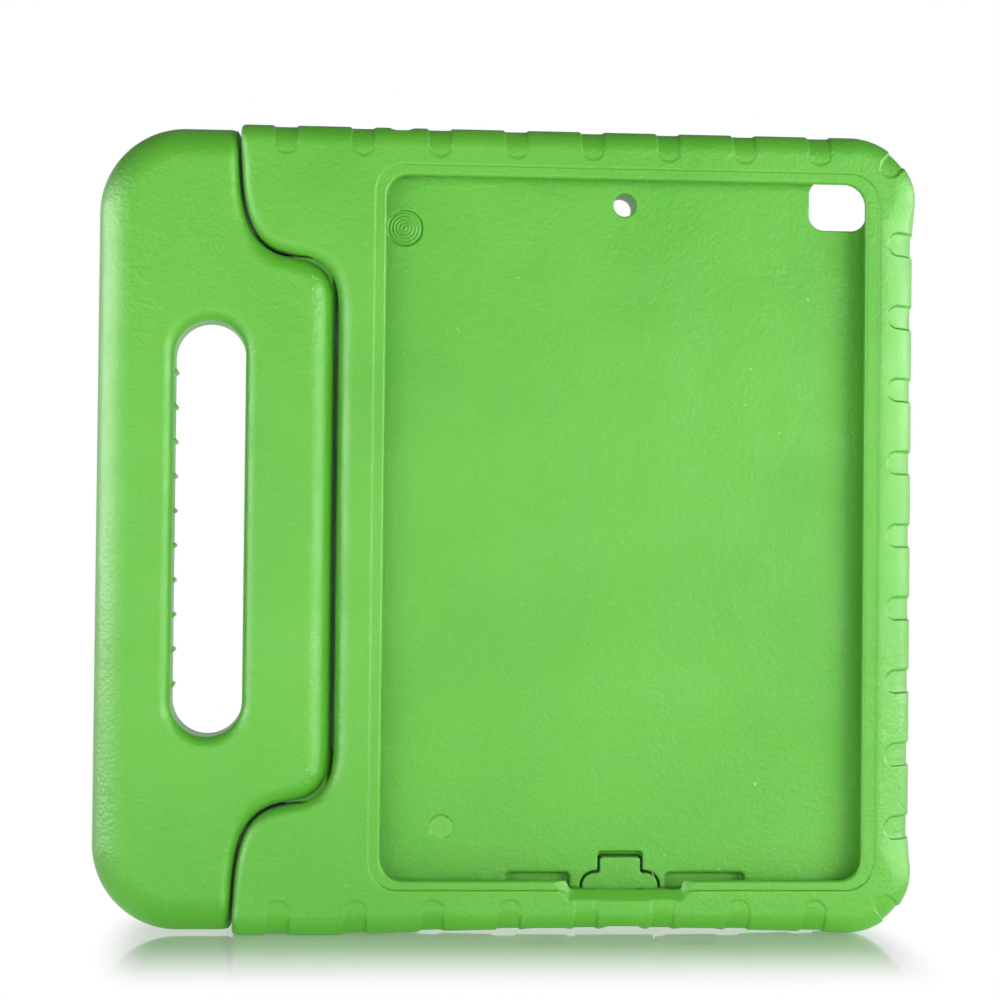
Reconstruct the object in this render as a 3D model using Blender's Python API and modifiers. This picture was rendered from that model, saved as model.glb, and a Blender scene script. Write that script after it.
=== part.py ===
"""Kids tablet case: a moulded foam bumper with a tray for a 10.2 inch class tablet, a carry handle that
turns on two pins, and a small flap over the charging port.

The case stands upright on its lower edge. X runs to the right, Y away from the screen side, Z up.
Lengths below are in millimetres and are scaled to metres when a mesh is made."""

import math

import bmesh
import bpy
from mathutils import Matrix

MM = 0.001

# Foam body
BODY_RIGHT = 143.6
BODY_HEIGHT = 281.0
BODY_HALF_DEPTH = 14.0
BODY_CORNER_R = 24.5
BODY_EDGE_FRONT_R = 7.5
BODY_EDGE_BACK_R = 5.0
MID_Z = BODY_HEIGHT / 2

# Hinge
HINGE_X = -74.8
PIN_RADIUS = 2.5
PIN_FIT = 0.3
PIN_DEPTH = 14.0
PIN_CHAMFER = 0.6

# Carry handle, its finger hole and the ribs on the hole's far wall
HANDLE_LEFT = -143.6
HANDLE_END_GAP = 1.2
HANDLE_HALF_DEPTH = BODY_HALF_DEPTH - 1.0
HANDLE_CORNER_R = 30.0
HANDLE_EDGE_R = HANDLE_HALF_DEPTH - 0.8
HOLE_X = HANDLE_LEFT + 39.0
HOLE_HALF_WIDTH = 12.3
HOLE_HALF_LENGTH = 71.9
HOLE_EDGE_R = 4.5
RIB_COUNT = 10
RIB_PITCH = 12.1
RIB_RADIUS = 0.8
RIB_RISE = 1.1
RIB_FRONT_Y = -HANDLE_HALF_DEPTH + 7.5
RIB_BACK_Y = HANDLE_HALF_DEPTH - 5.0

# Both foam blanks run past the parting line, which trims them
BODY_BLANK_LEFT = HINGE_X - 60.2
HANDLE_BLANK_RIGHT = HINGE_X + 34.8
PAST = 4.0

# Pocket and reliefs that the handle turns in
BARREL_RADIUS = HANDLE_HALF_DEPTH + 2.3
BARREL_END_R = 7.0
RELIEF_GAP = 0.6
RELIEF_LEAST_R = 2.5
RELIEF_BASE_Z = BODY_HEIGHT - 55.0
FLANK_OUTER_R = BARREL_RADIUS + 5.7
FLANK_TOP_Z = BODY_HEIGHT - 35.0
FLANK_RIGHT = HINGE_X + 13.7
KNUCKLE_INNER_R = 9.0
KNUCKLE_BASE_Z = BODY_HEIGHT - 39.5

# Tray for the tablet, from the walls round it
TRAY_LEFT = HINGE_X + 27.2
TRAY_RIGHT = BODY_RIGHT - 16.3
TRAY_BOTTOM = 16.0
TRAY_TOP = BODY_HEIGHT - 13.7
TRAY_MID_X = (TRAY_LEFT + TRAY_RIGHT) / 2
TRAY_CORNER_R = 9.5
LIP_BACK_Y = -BODY_HALF_DEPTH + 3.0
TRAY_FLOOR_Y = LIP_BACK_Y + 8.0
OPENING_LEFT = TRAY_LEFT + 3.5
OPENING_RIGHT = TRAY_RIGHT - 3.3
OPENING_BOTTOM = TRAY_BOTTOM + 3.6
OPENING_TOP = TRAY_TOP - 3.6
OPENING_CORNER_R = 7.6
OPENING_EDGE_R = 1.1
BAND_LEFT = TRAY_LEFT - 0.7
BAND_RIGHT = TRAY_RIGHT + 1.7
BAND_BOTTOM = TRAY_BOTTOM
BAND_TOP = TRAY_TOP + 0.2
BAND_CORNER_R = 10.5
BAND_STEP = 0.6
BAND_SLOPE = 0.8

# Charging port flap, its opening in the tray floor and the plug's slot through the bottom wall
FLAP_X = TRAY_MID_X + 0.75
FLAP_NECK_HALF = 7.15
FLAP_WIDE_HALF = 13.4
FLAP_TOP = TRAY_BOTTOM + 10.6
FLAP_SHOULDER_TOP = FLAP_TOP - 5.6
FLAP_SHOULDER_R = 4.6
FLAP_SIDE_GAP = 0.8
FLAP_TOP_GAP = 2.0
FLAP_TOP_CORNER_R = 1.5
FLAP_AXIS_Y = BODY_HALF_DEPTH - 0.85
FLAP_AXIS_Z = FLAP_TOP + 0.8
FLAP_GROUND_GAP = 1.2
FLAP_SWING_R = FLAP_AXIS_Z - FLAP_GROUND_GAP
FLAP_WEB_TOP = FLAP_TOP + 1.5
FLAP_WEB_FRONT_Y = BODY_HALF_DEPTH - 1.7
PORT_SLOT_HALF_WIDTH = 7.0
PORT_SLOT_CORNER_R = 2.5
PORT_SLOT_FRONT_Y = LIP_BACK_Y + 0.4
PORT_SLOT_BACK_Y = TRAY_FLOOR_Y + 0.1

# Scoop in the lower lip, narrower and higher at the back of the lip: distances from the flap's middle and
# from the opening's lower edge
SCOOP_FRONT = ((-27.2, 3.4), (-24.5, 0.1), (-19.3, -5.8), (20.7, -5.8), (25.5, 0.1), (28.2, 3.4))
SCOOP_BACK = ((-19.0, 3.4), (-18.8, 0.1), (-18.2, -2.2), (19.8, -2.2), (20.4, 0.1), (20.6, 3.4))

# Openings through the back panel and the top edge
CAMERA_RIGHT = TRAY_RIGHT - 0.9
CAMERA_LEFT = CAMERA_RIGHT - 20.5
CAMERA_TOP = TRAY_TOP - 0.8
CAMERA_BOTTOM = CAMERA_TOP - 17.9
CAMERA_CORNER_R = 5.5
MIC_X = TRAY_MID_X + 0.25
MIC_Z = TRAY_TOP - 11.1
MIC_RADIUS = 4.0
JACK_X = TRAY_LEFT + 8.4
JACK_Y = (LIP_BACK_Y + TRAY_FLOOR_Y) / 2
JACK_RADIUS = 3.5

# Speaker recesses in the tray floor and their slots through the bottom wall: recess start and end, slot
# start and end, from the flap's middle
SPEAKER_SPANS = ((-40.6, -17.6, -34.1, -19.1), (15.8, 44.4, 19.1, 34.1))
SPEAKER_RECESS_TOP = TRAY_BOTTOM + 7.4
SPEAKER_RECESS_DEPTH = 1.6
SPEAKER_SLOT_CORNER_R = 2.4
SPEAKER_SLOT_FRONT_Y = LIP_BACK_Y + 1.5
SPEAKER_SLOT_BACK_Y = TRAY_FLOOR_Y - 1.5

# Shallow rounded notches round the bumper
NOTCH_HALF_WIDTH = 4.0
NOTCH_SIDE_DEPTH = 0.95
NOTCH_FACE_DEPTH = 0.35
NOTCH_FRONT_R = 11.0
NOTCH_BACK_R = 9.0
NOTCH_X0 = HINGE_X - 4.5
NOTCH_X_PITCH = 26.7
NOTCH_X_COUNT = 8
NOTCH_Z_PITCH = 25.65
NOTCH_Z_COUNT = 9
NOTCH_TOP_REACH = 10.8
NOTCH_BOTTOM_REACH = 12.6
NOTCH_SCOOP_REACH = 15.6
NOTCH_RIGHT_REACH = 11.4
NOTCH_CORNER_REACH = 9.8
NOTCH_OUTSIDE = -6.0

# Marks of the mould on the tray floor: x, z, radius, depth
MOULD_MARK = (TRAY_LEFT + 10.1, TRAY_TOP - 20.8, 6.3, 0.5)
EJECTOR_MARK = (TRAY_LEFT + 25.0, TRAY_BOTTOM + 21.0, 4.2, 0.25)
MARK_RIM = 0.3

# Shallow panel on the back
PANEL_LEFT = TRAY_LEFT + 7.6
PANEL_RIGHT = TRAY_RIGHT - 9.3
PANEL_BOTTOM = TRAY_BOTTOM + 20.0
PANEL_TOP = TRAY_TOP - 27.3
PANEL_CORNER_R = 14.0
PANEL_DEPTH = 0.8

# Half of the parting line between handle and body, from the top edge to the middle of the tongue:
# x from the hinge, distance below the top edge, half gap, then edge radii: handle front, handle back,
# body front, body back, then how far the handle's and the body's back halves reach over the gap.
PARTING = (
    (-20.9, -19.0, 0.50, 4.0, 4.0, 3.6, 3.6, 4.2, 0.0),
    (-20.6, 0.0, 0.50, 4.0, 4.0, 3.6, 3.6, 4.2, 0.0),
    (-20.2, 13.0, 0.50, 4.0, 4.0, 3.6, 3.6, 4.2, 0.0),
    (-19.2, 24.5, 0.50, 4.5, 4.5, 3.6, 3.6, 3.6, 0.0),
    (-17.0, 33.8, 0.52, 5.0, 5.0, 3.8, 3.8, 0.6, 0.0),
    (-13.2, 40.2, 0.55, 5.5, 5.5, 4.0, 4.0, 0.0, 0.0),
    (-8.0, 43.9, 0.60, 6.0, 6.0, 4.0, 4.0, 0.0, 0.0),
    (-1.6, 45.7, 0.60, 6.0, 6.0, 4.0, 4.0, 0.0, 0.0),
    (4.2, 47.1, 0.60, 6.4, 6.4, 4.0, 4.0, 0.0, 0.0),
    (9.0, 50.0, 0.62, 7.0, 7.0, 4.5, 4.5, 0.0, 0.6),
    (12.2, 54.5, 0.64, 7.8, 7.8, 5.2, 4.6, 0.0, 1.3),
    (13.5, 60.5, 0.65, 8.6, 8.6, 6.0, 4.8, 0.0, 1.6),
    (13.75, 69.0, 0.65, 9.0, 9.0, 6.3, 5.0, 0.0, 1.6),
    (13.75, 81.0, 0.65, 9.0, 9.0, 6.3, 5.0, 0.0, 1.6),
    (13.75, MID_Z, 0.65, 9.0, 9.0, 6.3, 5.0, 0.0, 1.6),
)
HINGE_STATION = max(i for i, row in enumerate(PARTING) if row[0] < 0.0)
PARTING_STEPS = 2

GREEN = (0.147, 0.515, 0.064, 1.0)
DEEP_GREEN = (0.135, 0.480, 0.060, 1.0)
PIN_GREY = (0.45, 0.47, 0.45, 1.0)


def clear_scene():
    """Removes every object the scene holds."""
    for item in list(bpy.data.objects):
        bpy.data.objects.remove(item, do_unlink=True)


def new_collection(name):
    """A collection linked to the scene."""
    group = bpy.data.collections.new(name)
    bpy.context.scene.collection.children.link(group)
    return group


def make_material(name, colour, roughness):
    """A Principled material of one base colour."""
    mat = bpy.data.materials.new(name)
    mat.use_nodes = True
    shader = mat.node_tree.nodes["Principled BSDF"]
    shader.inputs["Base Color"].default_value = colour
    shader.inputs["Roughness"].default_value = roughness
    shader.inputs["Metallic"].default_value = 0.0
    return mat


def object_from(bm, name, group):
    """Closes a bmesh in millimetres into a mesh object in metres."""
    bmesh.ops.recalc_face_normals(bm, faces=bm.faces)
    bmesh.ops.scale(bm, vec=(MM, MM, MM), verts=bm.verts)
    mesh = bpy.data.meshes.new(name)
    bm.to_mesh(mesh)
    bm.free()
    item = bpy.data.objects.new(name, mesh)
    group.objects.link(item)
    return item


def arc(cx, cz, radius, start, end, steps):
    """Points on an arc, angles in degrees, both ends included."""
    points = []
    for i in range(steps + 1):
        a = math.radians(start + (end - start) * i / steps)
        points.append((cx + radius * math.cos(a), cz + radius * math.sin(a)))
    return points


def rounded_rectangle(x0, x1, z0, z1, radius, steps):
    """A rectangle's outline with round corners, anticlockwise."""
    r = max(radius, 0.05)
    return (
        arc(x1 - r, z0 + r, r, -90, 0, steps)
        + arc(x1 - r, z1 - r, r, 0, 90, steps)
        + arc(x0 + r, z1 - r, r, 90, 180, steps)
        + arc(x0 + r, z0 + r, r, 180, 270, steps)
    )


def loft(name, rings, group):
    """A closed solid through rings of equal length, given as (x, y, z) points."""
    bm = bmesh.new()
    layers = [[bm.verts.new(p) for p in ring] for ring in rings]
    count = len(layers[0])
    for low, high in zip(layers, layers[1:]):
        for i in range(count):
            j = (i + 1) % count
            bm.faces.new((low[i], low[j], high[j], high[i]))
    bm.faces.new(layers[0])
    bm.faces.new(list(reversed(layers[-1])))
    return object_from(bm, name, group)


def at_depth(points, y):
    """Outline points (x, z) placed at one depth."""
    return [(x, y, z) for x, z in points]


def slab(name, outline, y0, y1, front_r, back_r, segments, group):
    """An outline with depth, whose front and back edges are rounded by a weighted Bevel."""
    bm = bmesh.new()
    face = bm.faces.new([bm.verts.new((x, y0, z)) for x, z in outline])
    grown = bmesh.ops.extrude_face_region(bm, geom=[face], use_keep_orig=True)["geom"]
    moved = [g for g in grown if isinstance(g, bmesh.types.BMVert)]
    bmesh.ops.translate(bm, verts=moved, vec=(0.0, y1 - y0, 0.0))
    item = object_from(bm, name, group)
    widest = max(front_r, back_r)
    if widest > 0.0:
        mesh = item.data
        weight = mesh.attributes.new("bevel_weight_edge", "FLOAT", "EDGE")
        for edge in mesh.edges:
            a, b = (mesh.vertices[v].co.y / MM for v in edge.vertices)
            if abs(a - y0) < 0.01 and abs(b - y0) < 0.01:
                weight.data[edge.index].value = front_r / widest
            elif abs(a - y1) < 0.01 and abs(b - y1) < 0.01:
                weight.data[edge.index].value = back_r / widest
        bevel = item.modifiers.new("edge rounding", "BEVEL")
        bevel.limit_method = "WEIGHT"
        bevel.width = widest * MM
        bevel.segments = segments
        bevel.use_clamp_overlap = False
    return item


def lathe(name, profile, cx, cy, steps, group):
    """A turned solid on a vertical axis from (radius, z) stations."""
    rings = []
    for radius, z in profile:
        ring = []
        for i in range(steps):
            a = 2 * math.pi * i / steps
            ring.append((cx + radius * math.cos(a), cy + radius * math.sin(a), z))
        rings.append(ring)
    return loft(name, rings, group)


def sector(name, profile, start, end, steps, group):
    """A closed (radius, z) profile swept about the hinge axis between two angles in degrees."""
    rings = []
    for i in range(steps + 1):
        a = math.radians(start + (end - start) * i / steps)
        rings.append([(HINGE_X + r * math.cos(a), r * math.sin(a), z) for r, z in profile])
    return loft(name, rings, group)


def box(name, x0, x1, y0, y1, z0, z1, group):
    """A plain box."""
    bm = bmesh.new()
    bmesh.ops.create_cube(bm, size=1.0)
    bmesh.ops.scale(bm, vec=(x1 - x0, y1 - y0, z1 - z0), verts=bm.verts)
    middle = ((x0 + x1) / 2, (y0 + y1) / 2, (z0 + z1) / 2)
    bmesh.ops.translate(bm, verts=bm.verts, vec=middle)
    return object_from(bm, name, group)


def as_cutter(item):
    """Marks an object as a cutter."""
    item.hide_render = True
    item.display_type = "WIRE"
    return item


def boolean(item, other, operation):
    """Adds a Boolean modifier to an object."""
    as_cutter(other)
    mod = item.modifiers.new(other.name, "BOOLEAN")
    mod.operation = operation
    mod.solver = "EXACT"
    mod.object = other


def parting_stations():
    """The whole parting line as smooth stations, with unit normals that point into the body."""
    line = [(HINGE_X + row[0], BODY_HEIGHT - row[1]) + row[2:] for row in PARTING]
    count = len(line)
    half = []
    for i in range(count - 1):
        p0 = line[max(i - 1, 0)]
        p1 = line[i]
        p2 = line[i + 1]
        p3 = line[min(i + 2, count - 1)]
        straight = i >= count - 2 or i == 0
        steps = 1 if straight else PARTING_STEPS
        for k in range(steps):
            t = k / steps
            values = []
            for a, b, c, d in zip(p0, p1, p2, p3):
                if straight:
                    values.append(b + (c - b) * t)
                else:
                    square = 2 * a - 5 * b + 4 * c - d
                    cube = 3 * b - a - 3 * c + d
                    values.append(0.5 * (2 * b + (c - a) * t + square * t * t + cube * t ** 3))
            half.append(values)
    half.append(list(line[-1]))
    mirrored = [[v[0], BODY_HEIGHT - v[1]] + v[2:] for v in reversed(half[:-1])]
    stations = half + mirrored
    normals = []
    for i in range(len(stations)):
        a = stations[max(i - 1, 0)]
        b = stations[min(i + 1, len(stations) - 1)]
        dx, dz = b[0] - a[0], b[1] - a[1]
        length = math.hypot(dx, dz)
        normals.append((-dz / length, dx / length))
    return stations, normals


def handle_edge(shift):
    """The handle's edge line moved toward the body by a distance, upper half, from the top down."""
    stations, normals = parting_stations()
    points = []
    for s, n in zip(stations, normals):
        if s[1] >= MID_Z:
            d = shift - s[2]
            points.append((s[0] + n[0] * d, s[1] + n[1] * d))
    return points


def radial_edge(shift, least):
    """The moved edge line as (radius, z) about the hinge axis, from the top down to a least radius."""
    edge = [(HINGE_X - x, z) for x, z in handle_edge(shift)]
    kept = []
    for (r0, z0), (r1, z1) in zip(edge, edge[1:]):
        kept.append((r0, z0))
        if r1 < least:
            t = (r0 - least) / (r0 - r1)
            kept.append((least, z0 + (z1 - z0) * t))
            break
    return kept


def parting_cutter(name, half_depth, side, radius_cols, reach_col, group):
    """The solid on the far side of the parting line, flared at the front and back so that it rounds the
    edges of the piece it cuts. side is +1 where that piece is the body, -1 where it is the handle."""
    stations, normals = parting_stations()
    front_col, back_col = radius_cols
    far_x = BODY_RIGHT if side < 0 else 1.5 * HANDLE_LEFT

    def ring(y, offsets):
        points = []
        for s, n, o in zip(stations, normals, offsets):
            d = side * (s[2] + o)
            points.append((s[0] + n[0] * d, y, s[1] + n[1] * d))
        points.append((far_x, y, stations[-1][1]))
        points.append((far_x, y, stations[0][1]))
        return points

    # each station has its own radius, so a ring's depth follows the largest one and the flare of a
    # smaller one is measured from the surface
    widest_front = max(s[front_col] for s in stations)
    widest_back = max(s[back_col] for s in stations)
    steps = 5
    rings = [ring(-half_depth - PAST, [s[front_col] * 1.02 for s in stations])]
    for k in range(steps + 1):
        depth = widest_front * (1 - math.cos(math.pi / 2 * k / steps))
        offsets = []
        for s in stations:
            r = s[front_col]
            inside = max(r - depth, 0.0)
            offsets.append(r - math.sqrt(max(r * r - inside * inside, 0.0)))
        rings.append(ring(-half_depth + depth, offsets))
    rings.append(ring(0.0, [0.0 for s in stations]))
    rings.append(ring(0.9, [-s[reach_col] for s in stations]))
    for k in range(steps, -1, -1):
        depth = widest_back * (1 - math.cos(math.pi / 2 * k / steps))
        offsets = []
        for s in stations:
            r = s[back_col]
            inside = max(r - depth, 0.0)
            offsets.append(r - math.sqrt(max(r * r - inside * inside, 0.0)) - s[reach_col])
        rings.append(ring(half_depth - depth, offsets))
    rings.append(ring(half_depth + PAST, [s[back_col] * 1.02 - s[reach_col] for s in stations]))
    return loft(name, rings, group)


def mirrored_low(item, name, group):
    """A copy of a cutter mirrored about the middle height."""
    mesh = item.data.copy()
    flip = Matrix.Translation((0, 0, BODY_HEIGHT * MM)) @ Matrix.Diagonal((1, 1, -1, 1))
    mesh.transform(flip)
    mesh.flip_normals()
    copy = bpy.data.objects.new(name, mesh)
    group.objects.link(copy)
    return copy


def stadium(cx, cz, tip, angle):
    """A notch outline: a strip with one round end whose tip is at the given reach along an angle."""
    half_width = NOTCH_HALF_WIDTH
    a = math.radians(angle)
    ux, uz = math.cos(a), math.sin(a)
    vx, vz = -uz, ux
    points = []
    centre = tip - half_width
    for i in range(7):
        t = math.radians(-90 + 30 * i)
        along = centre + half_width * math.cos(t)
        across = half_width * math.sin(t)
        points.append((cx + ux * along + vx * across, cz + uz * along + vz * across))
    for across in (half_width, -half_width):
        points.append((cx + ux * NOTCH_OUTSIDE + vx * across, cz + uz * NOTCH_OUTSIDE + vz * across))
    return points


def flap_outline(side_gap, top_gap, bottom):
    """The flap's outline seen from the front, or its opening's with the gaps added."""
    neck = FLAP_NECK_HALF + side_gap
    wide = FLAP_WIDE_HALF + side_gap
    top = FLAP_TOP + top_gap
    shoulder = FLAP_SHOULDER_TOP + side_gap
    corner = FLAP_TOP_CORNER_R
    right = [(wide, bottom)]
    right += arc(wide - FLAP_SHOULDER_R, shoulder - FLAP_SHOULDER_R, FLAP_SHOULDER_R, 0, 80, 6)
    right += [(neck + 0.9, shoulder + 0.1), (neck + 0.25, shoulder + 0.45), (neck, shoulder + 1.1)]
    right += arc(neck - corner, top - corner, corner, 0, 90, 4)
    left = [(-x, z) for x, z in reversed(right)]
    return [(FLAP_X + x, z) for x, z in right + left]


def build_body(parts, cutters, mat):
    """The foam body: bumper, lip, tray, ears and openings."""
    outline = rounded_rectangle(BODY_BLANK_LEFT, BODY_RIGHT, 0.0, BODY_HEIGHT, BODY_CORNER_R, 9)
    d = BODY_HALF_DEPTH
    body = slab("case_body", outline, -d, d, BODY_EDGE_FRONT_R, BODY_EDGE_BACK_R, 4, parts)
    body.data.materials.append(mat)

    gap = parting_cutter("cut_body_gap", d, 1, (5, 6), 8, cutters)
    boolean(body, gap, "DIFFERENCE")

    # the pocket that the handle's tongue turns in
    top = BODY_HEIGHT - PARTING[HINGE_STATION][1] - PIN_FIT
    low = BODY_HEIGHT - top
    profile = []
    for k in range(8):
        a = math.pi / 2 * k / 7
        inset = BARREL_END_R * (1 - math.sin(a))
        profile.append((BARREL_RADIUS - inset, low + BARREL_END_R * (1 - math.cos(a))))
    profile = profile + [(r, BODY_HEIGHT - z) for r, z in reversed(profile)]
    barrel = lathe("cut_pocket_barrel", profile, HINGE_X, 0.0, 72, cutters)
    boolean(body, barrel, "DIFFERENCE")

    # behind the hinge line the ears are turned round the hinge axis, so that the handle can fold back
    inner, outer, base = RELIEF_LEAST_R, HINGE_X - HANDLE_LEFT, RELIEF_BASE_Z
    edge = radial_edge(RELIEF_GAP, inner)
    full = edge + [(inner, base), (outer, base), (outer, edge[0][1])]
    upper = sector("cut_ear_upper", full, 80.0, 185.0, 30, cutters)
    boolean(body, upper, "DIFFERENCE")
    boolean(body, mirrored_low(upper, "cut_ear_lower", cutters), "DIFFERENCE")
    outer = FLANK_OUTER_R
    capped = [(r, min(z, FLANK_TOP_Z)) for r, z in edge if z < FLANK_TOP_Z + 0.5 and r < outer]
    side = [(outer, capped[0][1])] + capped + [(inner, base), (outer, base)]
    flank = sector("cut_flank_upper", side, 4.0, 82.0, 18, cutters)
    deep = 2 * BODY_HALF_DEPTH
    limit = box("flank_limit", HANDLE_LEFT, FLANK_RIGHT, -deep, deep, MID_Z, BODY_HEIGHT + PAST, cutters)
    keep = as_cutter(limit)
    boolean(flank, keep, "INTERSECT")
    boolean(body, flank, "DIFFERENCE")
    flank_low = mirrored_low(flank, "cut_flank_lower", cutters)
    keep_low = mirrored_low(keep, "flank_limit_lower", cutters)
    boolean(flank_low, keep_low, "INTERSECT")
    boolean(body, flank_low, "DIFFERENCE")

    add_notches(body, cutters)
    add_tray(body, cutters)
    add_openings(body, cutters)
    add_pin_bores(body, cutters)
    return body


def add_notches(body, cutters):
    """Cuts the shallow notches that run over the bumper's edges."""
    d = BODY_HALF_DEPTH + 2.0
    outlines = []
    for i in range(NOTCH_X_COUNT):
        x = NOTCH_X0 + NOTCH_X_PITCH * i
        outlines.append(stadium(x, BODY_HEIGHT, NOTCH_TOP_REACH, -90))
        reach = NOTCH_SCOOP_REACH if i in (4, 5) else NOTCH_BOTTOM_REACH
        outlines.append(stadium(x, 0.0, reach, 90))
    for i in range(NOTCH_Z_COUNT):
        z = MID_Z + NOTCH_Z_PITCH * (i - (NOTCH_Z_COUNT - 1) / 2)
        outlines.append(stadium(BODY_RIGHT, z, NOTCH_RIGHT_REACH, 180))
    corner = BODY_CORNER_R * (1 - math.sqrt(0.5))
    for z, angle in ((BODY_HEIGHT - corner, 225), (corner, 135)):
        x = BODY_RIGHT - corner
        outlines.append(stadium(x, z, NOTCH_CORNER_REACH, angle))

    bm = bmesh.new()
    for outline in outlines:
        face = bm.faces.new([bm.verts.new((x, -d, z)) for x, z in outline])
        grown = bmesh.ops.extrude_face_region(bm, geom=[face], use_keep_orig=True)["geom"]
        moved = [g for g in grown if isinstance(g, bmesh.types.BMVert)]
        bmesh.ops.translate(bm, verts=moved, vec=(0.0, 2 * d, 0.0))
    notches = object_from(bm, "cut_notches", cutters)

    s = NOTCH_SIDE_DEPTH
    inner = rounded_rectangle(BODY_BLANK_LEFT, BODY_RIGHT - s, s, BODY_HEIGHT - s, BODY_CORNER_R - s, 9)
    depth = BODY_HALF_DEPTH - NOTCH_FACE_DEPTH
    core = slab("notch_core", inner, -depth, depth, NOTCH_FRONT_R, NOTCH_BACK_R, 3, cutters)
    boolean(notches, core, "DIFFERENCE")
    boolean(body, notches, "DIFFERENCE")


def add_tray(body, cutters):
    """Cuts the stepped band, the opening in the lip, the undercut tray and the scoop."""
    d = BODY_HALF_DEPTH

    def band(offset, y):
        points = rounded_rectangle(
            BAND_LEFT + offset, BAND_RIGHT - offset, BAND_BOTTOM + offset, BAND_TOP - offset,
            BAND_CORNER_R - offset, 8
        )
        return at_depth(points, y)

    step = loft(
        "cut_band",
        [band(0.0, -d - 2.0), band(0.0, -d), band(BAND_SLOPE * 0.5, -d + BAND_STEP * 0.8),
         band(BAND_SLOPE, -d + BAND_STEP)],
        cutters,
    )
    boolean(body, step, "DIFFERENCE")

    def opening(offset, y):
        points = rounded_rectangle(
            OPENING_LEFT - offset, OPENING_RIGHT + offset, OPENING_BOTTOM - offset, OPENING_TOP + offset,
            OPENING_CORNER_R + offset, 8
        )
        return at_depth(points, y)

    face = -d + BAND_STEP
    r = OPENING_EDGE_R
    rings = [opening(r * 1.05, face - 1.5)]
    for k in range(5):
        a = math.pi / 2 * k / 4
        rings.append(opening(r * (1 - math.sin(a)), face + r * (1 - math.cos(a))))
    rings.append(opening(0.0, LIP_BACK_Y + 2.0))
    boolean(body, loft("cut_lip_opening", rings, cutters), "DIFFERENCE")

    cavity = rounded_rectangle(TRAY_LEFT, TRAY_RIGHT, TRAY_BOTTOM, TRAY_TOP, TRAY_CORNER_R, 8)
    tray = slab("cut_tray", cavity, LIP_BACK_Y, TRAY_FLOOR_Y, 0.0, 0.0, 1, cutters)
    boolean(body, tray, "DIFFERENCE")

    # the scoop's slope runs from the front face to the back of the lip, continued a little both ways
    rings = []
    for t in (-0.25, 0.0, 1.0, 1.12):
        y = -d + (LIP_BACK_Y + d) * t
        points = []
        for (fx, fz), (bx, bz) in zip(SCOOP_FRONT, SCOOP_BACK):
            points.append((FLAP_X + fx + (bx - fx) * t, y, OPENING_BOTTOM + fz + (bz - fz) * t))
        rings.append(points)
    boolean(body, loft("cut_scoop", rings, cutters), "DIFFERENCE")

    for name, (x, z, radius, depth) in (("cut_mould_mark", MOULD_MARK), ("cut_ejector_mark", EJECTOR_MARK)):
        ring = arc(x, z, radius, 0, 345, 23)
        rim = arc(x, z, radius - MARK_RIM, 0, 345, 23)
        rings = [
            at_depth(ring, TRAY_FLOOR_Y - 1.0),
            at_depth(ring, TRAY_FLOOR_Y),
            at_depth(rim, TRAY_FLOOR_Y + depth),
        ]
        boolean(body, loft(name, rings, cutters), "DIFFERENCE")


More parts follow.
